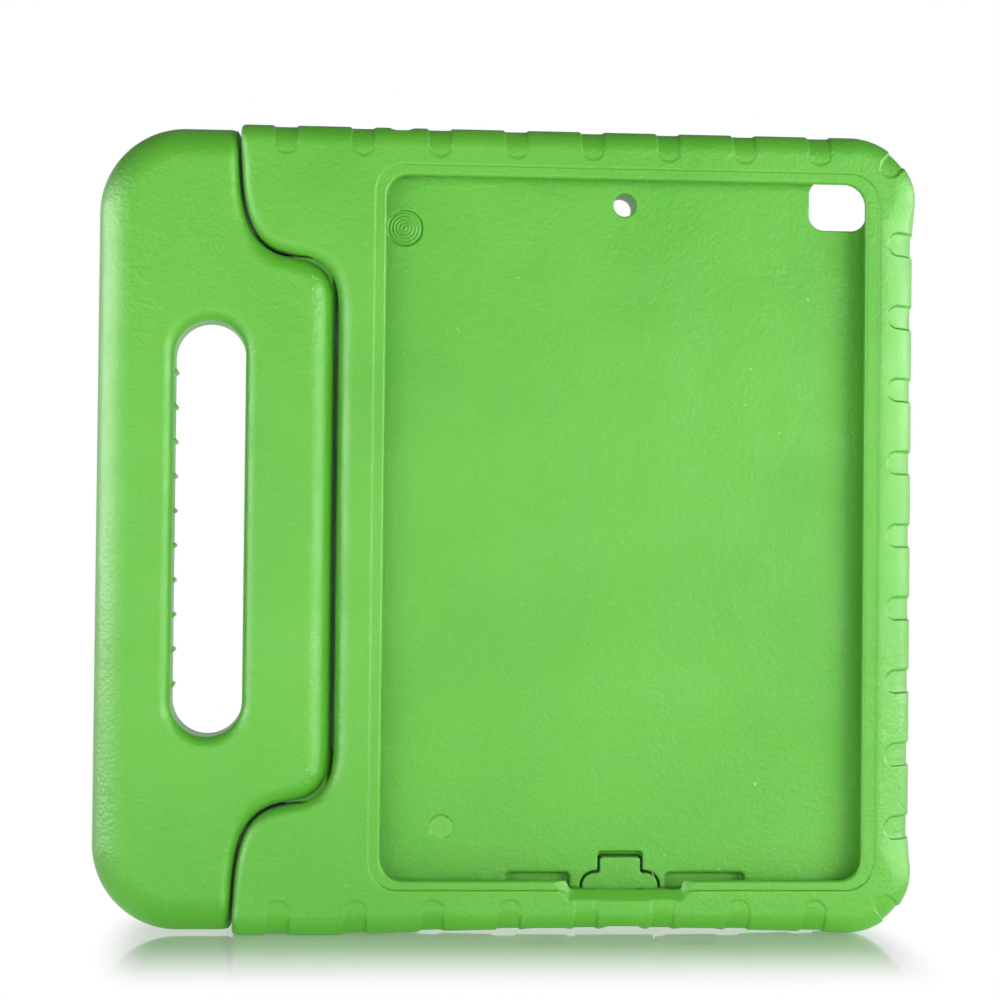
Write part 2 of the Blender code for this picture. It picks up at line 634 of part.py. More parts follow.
def add_openings(body, cutters):
    """Cuts the camera, microphone, jack, port and speaker openings, and the back panel."""
    d = BODY_HALF_DEPTH

    def camera(offset, y):
        points = rounded_rectangle(
            CAMERA_LEFT - offset, CAMERA_RIGHT + offset, CAMERA_BOTTOM - offset, CAMERA_TOP + offset,
            CAMERA_CORNER_R + offset, 7
        )
        return at_depth(points, y)

    rings = [camera(0.5, TRAY_FLOOR_Y - 1.0), camera(0.5, TRAY_FLOOR_Y), camera(0.0, TRAY_FLOOR_Y + 0.6)]
    rings += [camera(0.0, d - 5.0), camera(2.5, d), camera(3.0, d + 1.0)]
    boolean(body, loft("cut_camera_hole", rings, cutters), "DIFFERENCE")

    def mic(offset, y):
        return at_depth(arc(MIC_X, MIC_Z, MIC_RADIUS + offset, 0, 350, 35), y)

    rings = [mic(0.5, TRAY_FLOOR_Y - 1.0), mic(0.5, TRAY_FLOOR_Y), mic(0.0, TRAY_FLOOR_Y + 0.6)]
    rings += [mic(0.0, d - 1.4), mic(0.6, d), mic(0.8, d + 1.0)]
    boolean(body, loft("cut_mic_hole", rings, cutters), "DIFFERENCE")

    jack = [(JACK_RADIUS, TRAY_TOP - 2.0), (JACK_RADIUS, BODY_HEIGHT - 1.0), (JACK_RADIUS + 1.0, BODY_HEIGHT)]
    jack.append((JACK_RADIUS + 1.4, BODY_HEIGHT + 0.4))
    boolean(body, lathe("cut_jack_hole", jack, JACK_X, JACK_Y, 32, cutters), "DIFFERENCE")

    port = flap_outline(FLAP_SIDE_GAP, FLAP_TOP_GAP, -2.0)
    boolean(body, slab("cut_port", port, TRAY_FLOOR_Y - 0.4, d + 2.0, 0.0, 0.0, 1, cutters), "DIFFERENCE")

    half = PORT_SLOT_HALF_WIDTH
    depths = (PORT_SLOT_FRONT_Y, PORT_SLOT_BACK_Y, PORT_SLOT_CORNER_R)
    slots = [("cut_port_slot", FLAP_X - half, FLAP_X + half) + depths]
    depths = (SPEAKER_SLOT_FRONT_Y, SPEAKER_SLOT_BACK_Y, SPEAKER_SLOT_CORNER_R)
    for i, span in enumerate(SPEAKER_SPANS):
        x0, x1, s0, s1 = (FLAP_X + x for x in span)
        slots.append(("cut_speaker_slot_%d" % i, s0, s1) + depths)
        recess = rounded_rectangle(x0, x1, TRAY_BOTTOM - 1.0, SPEAKER_RECESS_TOP, 1.5, 4)
        inner = rounded_rectangle(x0 + 0.7, x1 - 0.7, TRAY_BOTTOM - 0.3, SPEAKER_RECESS_TOP - 0.7, 1.0, 4)
        rings = [
            at_depth(recess, TRAY_FLOOR_Y - 0.7),
            at_depth(recess, TRAY_FLOOR_Y),
            at_depth(inner, TRAY_FLOOR_Y + SPEAKER_RECESS_DEPTH),
        ]
        boolean(body, loft("cut_speaker_recess_%d" % i, rings, cutters), "DIFFERENCE")
    for name, x0, x1, y0, y1, radius in slots:
        outline = rounded_rectangle(x0, x1, y0, y1, radius, 5)
        rings = [[(x, y, z) for x, y in outline] for z in (-2.0, TRAY_BOTTOM + 1.5)]
        boolean(body, loft(name, rings, cutters), "DIFFERENCE")

    def panel(offset, y):
        points = rounded_rectangle(
            PANEL_LEFT + offset, PANEL_RIGHT - offset, PANEL_BOTTOM + offset, PANEL_TOP - offset,
            PANEL_CORNER_R - offset, 8
        )
        return at_depth(points, y)

    rings = [panel(0.0, d + 1.0), panel(0.0, d), panel(PANEL_DEPTH, d - PANEL_DEPTH)]
    boolean(body, loft("cut_back_panel", rings, cutters), "DIFFERENCE")


def pin_levels():
    """The heights of the upper hinge: tongue top, ear underside, bore floor and bore roof."""
    x, below, half_gap = PARTING[HINGE_STATION][:3]
    next_x, next_below = PARTING[HINGE_STATION + 1][:2]
    slope_z = BODY_HEIGHT - below + x * (next_below - below) / (next_x - x)
    tongue = slope_z - half_gap
    ear = slope_z + half_gap
    return tongue, ear, tongue - PIN_DEPTH, ear + PIN_DEPTH


def add_pin_bores(item, cutters):
    """Bores for both hinge pins, in the ears or in the handle."""
    tongue, ear, floor, roof = pin_levels()
    r = PIN_RADIUS + PIN_FIT
    is_body = item.name == "case_body"
    low, high = (ear - 3.0, roof) if is_body else (floor, tongue + 3.0)
    upper = lathe("cut_bore_upper_" + item.name, [(r, low), (r, high)], HINGE_X, 0.0, 32, cutters)
    boolean(item, upper, "DIFFERENCE")
    lower = mirrored_low(upper, "cut_bore_lower_" + item.name, cutters)
    boolean(item, lower, "DIFFERENCE")


def build_handle(parts, cutters, mat):
    """The foam handle with its finger hole and grip ribs."""
    outline = rounded_rectangle(
        HANDLE_LEFT, HANDLE_BLANK_RIGHT, HANDLE_END_GAP, BODY_HEIGHT - HANDLE_END_GAP, HANDLE_CORNER_R, 12
    )
    d = HANDLE_HALF_DEPTH
    handle = slab("carry_handle", outline, -d, d, HANDLE_EDGE_R, HANDLE_EDGE_R, 6, parts)
    handle.data.materials.append(mat)

    gap = parting_cutter("cut_handle_gap", d, -1, (3, 4), 7, cutters)
    boolean(handle, gap, "DIFFERENCE")

    # the back half closes round the ears on the hinge axis
    edge = [(HINGE_X - x, z) for x, z in handle_edge(0.0)]
    edge = [p for p in edge if p[1] > KNUCKLE_BASE_Z]
    profile = edge + [(KNUCKLE_INNER_R, edge[-1][1]), (KNUCKLE_INNER_R, edge[0][1])]
    upper = sector("cut_knuckle_upper", profile, 90.0, 182.0, 26, cutters)
    boolean(handle, upper, "DIFFERENCE")
    boolean(handle, mirrored_low(upper, "cut_knuckle_lower", cutters), "DIFFERENCE")

    def hole(offset, y):
        w = HOLE_HALF_WIDTH + offset
        straight = HOLE_HALF_LENGTH - HOLE_HALF_WIDTH
        points = arc(HOLE_X, MID_Z + straight, w, 0, 180, 18) + arc(HOLE_X, MID_Z - straight, w, 180, 360, 18)
        return at_depth(points, y)

    r = HOLE_EDGE_R
    rings = [hole(r * 1.03, -d - 3.0)]
    for k in range(7):
        a = math.pi / 2 * k / 6
        rings.append(hole(r * (1 - math.sin(a)), -d + r * (1 - math.cos(a))))
    rings += [[(x, -y, z) for x, y, z in ring] for ring in reversed(rings)]
    boolean(handle, loft("cut_finger_hole", rings, cutters), "DIFFERENCE")

    # half-round ribs on the far wall of the finger hole
    bm = bmesh.new()
    for i in range(RIB_COUNT):
        z = MID_Z + RIB_PITCH * (i - (RIB_COUNT - 1) / 2)
        made = bmesh.ops.create_cone(
            bm, cap_ends=True, segments=12, radius1=RIB_RADIUS, radius2=RIB_RADIUS, depth=RIB_BACK_Y - RIB_FRONT_Y
        )["verts"]
        bmesh.ops.rotate(bm, verts=made, cent=(0, 0, 0), matrix=Matrix.Rotation(math.pi / 2, 3, "X"))
        x = HOLE_X - HOLE_HALF_WIDTH + RIB_RISE - RIB_RADIUS
        bmesh.ops.translate(bm, verts=made, vec=(x, (RIB_BACK_Y + RIB_FRONT_Y) / 2, z))
    boolean(handle, object_from(bm, "add_grip_ribs", cutters), "UNION")

    add_pin_bores(handle, cutters)
    return handle


def build_pins(parts, mat):
    """The two hinge pins, from the handle across the gap into the ears."""
    tongue, ear, floor, roof = pin_levels()
    low, high = floor + PIN_FIT, roof - PIN_FIT
    r, chamfer = PIN_RADIUS, PIN_CHAMFER
    profile = [(r - chamfer, low), (r, low + chamfer), (r, high - chamfer), (r - chamfer, high)]
    upper = lathe("upper_hinge_pin", profile, HINGE_X, 0.0, 32, parts)
    turned = [(radius, BODY_HEIGHT - z) for radius, z in reversed(profile)]
    lower = lathe("lower_hinge_pin", turned, HINGE_X, 0.0, 32, parts)
    for pin in (upper, lower):
        pin.data.materials.append(mat)
    return upper, lower


def build_flap(parts, cutters, mat):
    """The charging port flap. Its neck bends at a thin web on the back face."""
    d = BODY_HALF_DEPTH
    outline = flap_outline(0.0, 0.0, -1.0)
    flap = slab("port_cover_flap", outline, TRAY_FLOOR_Y, d, 0.0, 0.0, 1, parts)
    flap.data.materials.append(mat)

    # the free end is turned about the web, so that it clears the surface that the case stands on
    arc_points = arc(FLAP_AXIS_Y, FLAP_AXIS_Z, FLAP_SWING_R, 200, 340, 40)
    ring = arc_points + [(3 * d, 2 * FLAP_WEB_TOP), (-3 * d, 2 * FLAP_WEB_TOP)]
    half = FLAP_WIDE_HALF + PAST
    rings = [[(x, y, z) for y, z in ring] for x in (FLAP_X - half, FLAP_X + half)]
    boolean(flap, loft("keep_flap_swing", rings, cutters), "INTERSECT")

    half = FLAP_NECK_HALF - 0.4
    web = box("add_flap_web", FLAP_X - half, FLAP_X + half, FLAP_WEB_FRONT_Y, d - 0.02, FLAP_TOP - 2.0,
              FLAP_WEB_TOP, cutters)
    boolean(flap, web, "UNION")
    return flap


def smooth(item):
    """Shades the round parts of a piece smooth and keeps its sharp edges."""
    item.data.shade_smooth()
    item.data.set_sharp_from_angle(angle=math.radians(32))


def put_origin(item, x, y, z):
    """Moves a piece's origin to a point in millimetres and leaves its shape where it is."""
    offset = Matrix.Translation((-x * MM, -y * MM, -z * MM))
    item.data.transform(offset)
    item.location = (x * MM, y * MM, z * MM)


def main():
    clear_scene()
    parts = new_collection("kids_tablet_case")
    cutters = new_collection("cutters")
    foam = make_material("green_foam", GREEN, 0.62)
    handle_foam = make_material("green_foam_handle", GREEN, 0.60)
    flap_foam = make_material("green_foam_flap", DEEP_GREEN, 0.62)
    plastic = make_material("grey_plastic", PIN_GREY, 0.40)

    body = build_body(parts, cutters, foam)
    handle = build_handle(parts, cutters, handle_foam)
    pins = build_pins(parts, plastic)
    flap = build_flap(parts, cutters, flap_foam)

    for item in (body, handle, flap) + pins:
        smooth(item)
    put_origin(handle, HINGE_X, 0.0, MID_Z)
    put_origin(flap, FLAP_X, FLAP_AXIS_Y, FLAP_AXIS_Z)
    for pin in pins:
        put_origin(pin, HINGE_X, 0.0, 0.0)


main()
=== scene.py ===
"""The looks of the kids tablet case: soft moulded foam pieces, their materials, the studio and the camera.

The foam pieces are fields of distance, worked out on a grid and turned into a mesh. A field holds, at each
point, how far the piece's surface is, negative inside, so that edges and hollows join in soft fillets as
they do in moulded foam. Lengths in the fields are in millimetres, and the meshes are in metres."""

import math

import bmesh
import bpy
import numpy as np
from mathutils import Matrix, Vector


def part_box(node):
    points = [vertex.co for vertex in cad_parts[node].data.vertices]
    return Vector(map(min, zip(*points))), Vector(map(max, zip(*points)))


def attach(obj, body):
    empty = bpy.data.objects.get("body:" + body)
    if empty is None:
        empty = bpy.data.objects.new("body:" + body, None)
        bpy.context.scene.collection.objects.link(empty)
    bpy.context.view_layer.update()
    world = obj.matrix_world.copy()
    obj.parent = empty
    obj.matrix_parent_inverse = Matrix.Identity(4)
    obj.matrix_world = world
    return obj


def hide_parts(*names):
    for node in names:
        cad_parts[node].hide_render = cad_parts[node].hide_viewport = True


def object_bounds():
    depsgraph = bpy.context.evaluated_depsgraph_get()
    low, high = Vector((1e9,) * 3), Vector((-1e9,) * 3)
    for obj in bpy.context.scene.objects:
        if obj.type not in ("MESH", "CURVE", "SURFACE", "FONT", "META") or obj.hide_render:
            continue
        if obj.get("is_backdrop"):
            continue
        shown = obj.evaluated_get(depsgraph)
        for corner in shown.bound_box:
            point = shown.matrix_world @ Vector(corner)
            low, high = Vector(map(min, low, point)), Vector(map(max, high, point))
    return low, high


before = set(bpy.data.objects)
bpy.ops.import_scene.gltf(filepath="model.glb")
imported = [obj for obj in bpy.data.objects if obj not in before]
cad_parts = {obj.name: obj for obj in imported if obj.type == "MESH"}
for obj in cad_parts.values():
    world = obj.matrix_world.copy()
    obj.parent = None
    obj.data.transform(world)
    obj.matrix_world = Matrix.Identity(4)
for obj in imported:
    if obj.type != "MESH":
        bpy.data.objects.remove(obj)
cad_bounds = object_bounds()

MM = 0.001


def node_box(name):
    """A node's lowest and highest corners in millimetres."""
    low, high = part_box(name)
    return [v / MM for v in low], [v / MM for v in high]


_, BODY_HIGH = node_box("case_body")
HANDLE_LOW, HANDLE_HIGH = node_box("carry_handle")
PIN_LOW, PIN_HIGH = node_box("upper_hinge_pin")
FLAP_LOW, FLAP_HIGH = node_box("port_cover_flap")

# Body
RIGHT = BODY_HIGH[0]
HEIGHT = BODY_HIGH[2]
HALF = BODY_HIGH[1]
MID_Z = HEIGHT / 2
CORNER_R = 24.5
EDGE_FRONT_R = 7.5
EDGE_BACK_R = 5.0

# The front edge is rounder along the right side. It starts this far in, and changes over these lengths.
EDGE_RIGHT_R = 15.0
ROUNDER_X = 40.0
ROUNDER_X_RAMP = 20.0
ROUNDER_Z = 14.0
ROUNDER_Z_RAMP = 22.0

# The lower edge's bow
BOW = 2.4
BOW_X = 38.0
BOW_HALF = 96.0

# Hinge
HINGE_X = (PIN_LOW[0] + PIN_HIGH[0]) / 2
PIN_FIT = 0.3
PIN_BORE_R = (PIN_HIGH[0] - PIN_LOW[0]) / 2 + PIN_FIT
PIN_TOP = PIN_HIGH[2]
PIN_FLOOR = PIN_LOW[2]
BODY_BLANK_LEFT = HINGE_X - 90.0
HANDLE_BLANK_RIGHT = HINGE_X + 60.0

# Handle, its finger hole and the ribs on the hole's wall
HANDLE_LEFT = HANDLE_LOW[0]
HANDLE_HALF = HANDLE_HIGH[1]
HANDLE_END_GAP = HANDLE_LOW[2]
HANDLE_CORNER_R = 30.0
HANDLE_EDGE_R = 12.2
HOLE_X = HANDLE_LEFT + 39.0
HOLE_HALF_WIDTH = 12.3
HOLE_HALF_LENGTH = 71.9
HOLE_END = HOLE_HALF_LENGTH - HOLE_HALF_WIDTH
HOLE_EDGE_R = 4.5
RIB_COUNT = 10
RIB_PITCH = 12.1
RIB_RADIUS = 0.8
RIB_RISE = 1.1
RIB_FRONT_Y = -HANDLE_HALF + 7.5
RIB_BACK_Y = HANDLE_HALF - 5.0

# The body's pocket for the handle's barrel
POCKET_R = HANDLE_HALF + 2.3
POCKET_END_R = 7.0
POCKET_HALF = MID_Z - 45.4

# What the turning handle sweeps out behind the body's ears, with distances from the hinge and the ends
SWEEP_GAP = 0.6
SWEEP_LEAST_R = 2.5
SWEEP_FRONT_Y = -0.3
SWEEP_END = 55.0
FLANK_R = 21.0
FLANK_END = 35.0
FLANK_RIGHT = 13.7

# The ears' place in the handle, then the barrel and the dome that fill the parting gap
EAR_END = 39.5
EAR_LEAST_R = 9.0
BARREL_FIT = 1.1
BARREL_END_FIT = 0.4
BARREL_HALF_DEPTH = 7.0
BARREL_LEFT = HINGE_X - 6.0
BARREL_END = 64.0
DOME_FIT = 0.2
DOME_REACH = 4.0
DOME_FRONT_Y = 1.2
DOME_BACK_Y = HANDLE_HALF - 2.5
DOME_RIGHT = HINGE_X + 0.3
DOME_END = 35.8
DOME_R = 20.2

# Tray, lip and the stepped band round the lip
TRAY_LEFT = HINGE_X + 27.2
TRAY_RIGHT = RIGHT - 16.3
TRAY_BOTTOM = 16.0
TRAY_TOP = HEIGHT - 13.7
TRAY_MID_X = (TRAY_LEFT + TRAY_RIGHT) / 2
TRAY_R = 9.5
LIP_DEPTH = 3.0
LIP_BACK = -HALF + LIP_DEPTH
LIP_RIM_R = 1.1
FLOOR_Y = LIP_BACK + 8.0
OPENING_LEFT = TRAY_LEFT + 3.5
OPENING_RIGHT = TRAY_RIGHT - 3.3
OPENING_BOTTOM = TRAY_BOTTOM + 3.6
OPENING_TOP = TRAY_TOP - 3.6
OPENING_R = 7.6
BAND_LEFT = TRAY_LEFT - 0.3
BAND_RIGHT = TRAY_RIGHT + 1.3
BAND_BOTTOM = TRAY_BOTTOM + 0.4
BAND_TOP = TRAY_TOP - 0.2
BAND_R = 10.1
BAND_STEP = 0.6
PAST = 2.0

# The scoop in the lower lip, at the lip's front and at its back: base, left end and right end from the
# flap's middle, then how far the left and the right end lean out, and over what rise
SCOOP_FRONT = (12.0, 19.3, 20.7, 5.2, 4.8, 5.9)
SCOOP_BACK = (16.6, 18.2, 19.8, 0.6, 0.6, 2.3)
SCOOP_TOP = OPENING_BOTTOM + 3.4

# Flap, its swing and its web
FLAP_X = (FLAP_LOW[0] + FLAP_HIGH[0]) / 2
FLAP_TOP = TRAY_BOTTOM + 10.6
FLAP_SHOULDER = FLAP_TOP - 5.6
FLAP_NECK = 7.15
FLAP_WIDE = (FLAP_HIGH[0] - FLAP_LOW[0]) / 2
FLAP_AXIS = (HALF - 0.85, FLAP_TOP + 0.8)
FLAP_SWING_R = FLAP_AXIS[1] - FLAP_LOW[2]
FLAP_FOOT = BOW + 0.2
FLAP_LIP = 0.8
FLAP_LIP_Y = HALF - 2.0
FLAP_LIP_RAMP = 0.4
WEB_HALF_WIDTH = 8.2
WEB_BOTTOM = FLAP_TOP - 2.0
WEB_TOP = FLAP_TOP + 2.4
WEB_FRONT_Y = HALF - 1.6
WEB_BACK_Y = HALF - 0.1

# The flap's opening, wider at the back for its lip, with a ledge over its neck, and the slot before it
FLAP_SIDE_GAP = 0.8
FLAP_TOP_GAP = 2.0
PORT_FRONT_Y = FLOOR_Y - 0.6
PORT_WIDER = 0.8
PORT_WIDER_Y = HALF - 2.8
PORT_WIDER_RAMP = 0.6
LEDGE = 1.6
LEDGE_Y = FLOOR_Y + 2.6
LEDGE_RAMP = 0.8
PORT_SLOT_HALF = 7.0
PORT_SLOT_FRONT_Y = LIP_BACK + 0.4
PORT_SLOT_BACK_Y = FLOOR_Y + 0.1
SLOT_TOP = TRAY_BOTTOM + 1.5

# Openings in the tray's floor and top wall. The camera hole flares from each depth at a slope.
CUT_FRONT_Y = FLOOR_Y - 1.5
CAMERA_RIGHT = TRAY_RIGHT - 0.9
CAMERA_TOP = TRAY_TOP - 0.8
CAMERA_LEFT = CAMERA_RIGHT - 20.5
CAMERA_BOTTOM = CAMERA_TOP - 17.9
CAMERA_R = 5.5
CAMERA_FLARES = ((HALF - 5.0, 0.5), (FLOOR_Y + 1.2, 0.22))
MIC = (TRAY_MID_X + 0.25, TRAY_TOP - 11.1, 4.0)
JACK = (TRAY_LEFT + 8.4, (LIP_BACK + FLOOR_Y) / 2, 3.5)
JACK_BOTTOM = TRAY_TOP - 2.0

# Speaker recesses and their slots, as ends from the flap's middle: recess left, right, slot left, right
SPEAKER_SPANS = ((-40.25, -17.95, -34.1, -19.1), (16.15, 44.05, 19.1, 34.1))
SPEAKER_FRONT_Y = LIP_BACK + 1.5
SPEAKER_BACK_Y = FLOOR_Y - 1.5
RECESS_BOTTOM = TRAY_BOTTOM - 0.7
RECESS_TOP = TRAY_BOTTOM + 5.0
RECESS_BACK_Y = FLOOR_Y + 5.0

# The mould's sunk discs on the tray floor: x, z, radius, depth
MOULD_MARK = (TRAY_LEFT + 10.1, TRAY_TOP - 20.8, 6.3, 0.7)
EJECTOR_MARK = (TRAY_LEFT + 25.0, TRAY_BOTTOM + 21.0, 4.2, 0.25)

# The shallow panel on the back
PANEL_LEFT = TRAY_LEFT + 8.0
PANEL_RIGHT = TRAY_RIGHT - 9.7
PANEL_BOTTOM = TRAY_BOTTOM + 20.4
PANEL_TOP = TRAY_TOP - 27.7
PANEL_R = 13.6
PANEL_DEPTH = 0.8

# Notches, in columns along the top and bottom edges and rows along the right edge
NOTCH_HALF_WIDTH = 4.0
NOTCH_X0 = HINGE_X - 4.5
NOTCH_X_PITCH = 26.7
NOTCH_X_COUNT = 8
NOTCH_Z_PITCH = 25.65
NOTCH_Z_COUNT = 9
NOTCH_TOP_REACH = 10.8
NOTCH_LOW_REACH = 12.6
NOTCH_SCOOP_REACH = 15.6
NOTCH_SCOOP_COLUMNS = (4, 5)
NOTCH_SIDE_REACH = 11.4
NOTCH_CORNER_REACH = 9.2
NOTCH_CORNER_NARROWER = 0.3
NOTCH_EDGE_DEPTH = 0.38
NOTCH_FACE_DEPTH = 0.30
NOTCH_ROUNDER = 1.2

# Half of the parting line between handle and body, from the top edge to the middle of the tongue:
# x from the hinge, distance below the top edge, half gap, then edge radii: handle, body front, body back,
# then how far the handle's and the body's back halves reach over the gap.
PARTING = (
    (-20.9, -19.0, 0.50, 2.0, 1.6, 1.6, 4.2, 0.0),
    (-20.6, 0.0, 0.50, 2.2, 1.8, 1.8, 4.2, 0.0),
    (-20.2, 13.0, 0.50, 4.0, 3.6, 3.6, 4.2, 0.0),
    (-19.2, 24.5, 0.50, 4.5, 3.6, 3.6, 3.6, 0.0),
    (-17.0, 33.8, 0.52, 5.0, 3.8, 3.8, 1.6, 0.0),
    (-13.2, 40.2, 0.55, 5.5, 4.0, 4.0, 0.6, 0.0),
    (-8.0, 43.9, 0.60, 6.0, 4.0, 4.0, 0.0, 0.0),
    (-1.6, 45.7, 0.60, 6.0, 4.0, 4.0, 0.0, 0.0),
    (4.2, 47.1, 0.60, 6.4, 4.0, 4.0, 0.0, 0.0),
    (9.0, 50.0, 0.62, 7.0, 4.5, 4.5, 0.0, 0.6),
    (12.2, 54.5, 0.64, 7.8, 5.2, 4.6, 0.0, 1.3),
    (13.5, 60.5, 0.65, 8.6, 6.0, 4.8, 0.0, 1.6),
    (13.75, 69.0, 0.65, 9.0, 6.3, 5.0, 0.0, 1.6),
    (13.75, 81.0, 0.65, 9.0, 6.3, 5.0, 0.0, 1.6),
    (13.75, MID_Z, 0.65, 9.0, 6.3, 5.0, 0.0, 1.6),
)
GAP, HANDLE_R, BODY_FRONT_R, BODY_BACK_R, HANDLE_REACH, BODY_REACH = range(6)


# Fields of distance

def soft_max(a, b, k):
    """The larger of two fields, joined by a fillet of about k."""
    h = np.maximum(k - np.abs(a - b), 0.0) / k
    return np.maximum(a, b) + h * h * k * 0.25


def soft_min(a, b, k):
    """The smaller of two fields, joined by a fillet of about k."""
    return -soft_max(-a, -b, k)


def without(piece, hollow, k):
    """A piece with a hollow cut out of it, whose rim is rounded by about k."""
    return soft_max(piece, -hollow, k)


def corner(a, b, r):
    """Two half spaces that meet at a right angle, with a round edge of radius r between them."""
    u = a + r
    v = b + r
    return np.hypot(np.maximum(u, 0.0), np.maximum(v, 0.0)) + np.minimum(np.maximum(u, v), 0.0) - r


def rounded_rectangle(x, z, x0, x1, z0, z1, r):
    """A rectangle with round corners."""
    a = np.abs(x - (x0 + x1) / 2) - (x1 - x0) / 2
    b = np.abs(z - (z0 + z1) / 2) - (z1 - z0) / 2
    return corner(a, b, r)


def between(value, low, high):
    """The slab between two values."""
    return np.maximum(low - value, value - high)


def faces(flat, y, half, front_r, back_r):
    """A flat outline given depth, with its front and back edges rounded."""
    r = np.where(y < 0.0, front_r, back_r)
    return corner(flat, np.abs(y) - half, r)


def segment(x, z, a, b):
    """The distance from the line between two points."""
    ax, az = a
    dx, dz = b[0] - ax, b[1] - az
    t = np.clip(((x - ax) * dx + (z - az) * dz) / (dx * dx + dz * dz), 0.0, 1.0)
    return np.hypot(x - ax - dx * t, z - az - dz * t)


def parting_line(steps=6):
    """The parting line's upper half from the top edge down, each point with its gap, radii and reaches."""
    line = np.array(PARTING, float)
    line[:, 0] = HINGE_X + line[:, 0]
    line[:, 1] = HEIGHT - line[:, 1]
    count = len(line)
    points = []
    for i in range(count - 1):
        p0, p1, p2, p3 = line[max(i - 1, 0)], line[i], line[i + 1], line[min(i + 2, count - 1)]
        straight = i == 0 or i >= count - 2
        for k in range(1 if straight else steps):
            t = k / steps
            square = 2 * p0 - 5 * p1 + 4 * p2 - p3
            cube = 3 * p1 - p0 - 3 * p2 + p3
            points.append(0.5 * (2 * p1 + (p2 - p0) * t + square * t ** 2 + cube * t ** 3))
    points.append(line[-1])
    return np.array(points)


LINE = parting_line()
FAR = 25.0
REACH_RAMP = 0.9


def parting(x, z, wanted=True):
    """The signed distance from the parting line, positive on the body's side, and the line's values at the
    nearest point: gap, radii and reaches. It is worked out where wanted, near the line only."""
    x, z, wanted = np.broadcast_arrays(np.asarray(x, np.float32), np.asarray(z, np.float32), wanted)
    shape = x.shape
    x = x.ravel()
    z = MID_Z + np.abs(z.ravel() - MID_Z)
    distance = np.full(x.size, FAR, np.float32)
    values = np.tile(LINE[-1, 2:].astype(np.float32), (x.size, 1))
    near = np.flatnonzero((x < LINE[-1, 0] + FAR) & wanted.ravel())
    nx, nz = x[near], z[near]
    best = np.full(near.size, 1e9, np.float32)
    side = np.ones(near.size, np.float32)
    found = np.zeros((near.size, LINE.shape[1] - 2), np.float32)
    for a, b in zip(LINE, LINE[1:]):
        dx, dz = b[0] - a[0], b[1] - a[1]
        length = math.hypot(dx, dz)
        t = np.clip(((nx - a[0]) * dx + (nz - a[1]) * dz) / length ** 2, 0.0, 1.0)
        ox = nx - a[0] - dx * t
        oz = nz - a[1] - dz * t
        d = ox * ox + oz * oz
        closer = d < best
        best[closer] = d[closer]
        side[closer] = np.sign(oz[closer] * dx - ox[closer] * dz)
        found[closer] = a[2:] + t[closer, None] * (b[2:] - a[2:])
    distance[near] = np.sqrt(best) * side
    values[near] = found
    return distance.reshape(shape), [values[:, i].reshape(shape) for i in range(values.shape[1])]


def reach_share(y):
    """How much of the back half's reach over the gap holds at a depth."""
    return np.clip(y / REACH_RAMP, 0.0, 1.0)


def from_middle(z):
    """How far up or down from the case's middle height."""
    return np.abs(z - MID_Z)


def notch_prisms(x, z):
    """The outlines of all notches, as one field."""
    w = NOTCH_HALF_WIDTH
    column = np.round((x - NOTCH_X0) / NOTCH_X_PITCH).clip(0, NOTCH_X_COUNT - 1)
    nx = NOTCH_X0 + NOTCH_X_PITCH * column
    low_reach = np.where(np.isin(column, NOTCH_SCOOP_COLUMNS), NOTCH_SCOOP_REACH, NOTCH_LOW_REACH)
    field = np.hypot(x - nx, np.maximum(HEIGHT - NOTCH_TOP_REACH + w - z, 0.0)) - w
    field = np.minimum(field, np.hypot(x - nx, np.maximum(z - low_reach + w, 0.0)) - w)
    middle = (NOTCH_Z_COUNT - 1) / 2
    row = np.round((z - MID_Z) / NOTCH_Z_PITCH).clip(-middle, middle)
    nz = MID_Z + NOTCH_Z_PITCH * row
    field = np.minimum(field, np.hypot(z - nz, np.maximum(RIGHT - NOTCH_SIDE_REACH + w - x, 0.0)) - w)
    diagonal = math.sqrt(0.5)
    inset = CORNER_R * (1 - diagonal)
    for corner_z, up in ((HEIGHT - inset, 1), (inset, -1)):
        along = (x - RIGHT + inset + up * (z - corner_z)) * diagonal
        across = (x - RIGHT + inset - up * (z - corner_z)) * diagonal
        end = np.hypot(across, np.maximum(w - NOTCH_CORNER_REACH - along, 0.0))
        field = np.minimum(field, end - w + NOTCH_CORNER_NARROWER)
    return field


def front_radius(x, z):
    """The radius of the body's front edge."""
    t = np.clip((MID_Z - ROUNDER_Z - from_middle(z)) / ROUNDER_Z_RAMP, 0.0, 1.0)
    t = t * np.clip((x - RIGHT + ROUNDER_X) / ROUNDER_X_RAMP, 0.0, 1.0)
    return EDGE_FRONT_R + (EDGE_RIGHT_R - EDGE_FRONT_R) * t * t * (3.0 - 2.0 * t)


def body_blank(x, y, z):
    """The body's outer form, trimmed at the parting line."""
    flat = rounded_rectangle(x, z, BODY_BLANK_LEFT, RIGHT, 0.0, HEIGHT, CORNER_R)
    side, values = parting(x, z)
    edge = values[GAP] - values[BODY_REACH] * reach_share(y) - side
    deep = np.clip(y / 3.0 + 0.5, 0.0, 1.0)
    edge_r = values[BODY_FRONT_R] + (values[BODY_BACK_R] - values[BODY_FRONT_R]) * deep
    return corner(faces(flat, y, HALF, front_radius(x, z), EDGE_BACK_R), edge, edge_r)


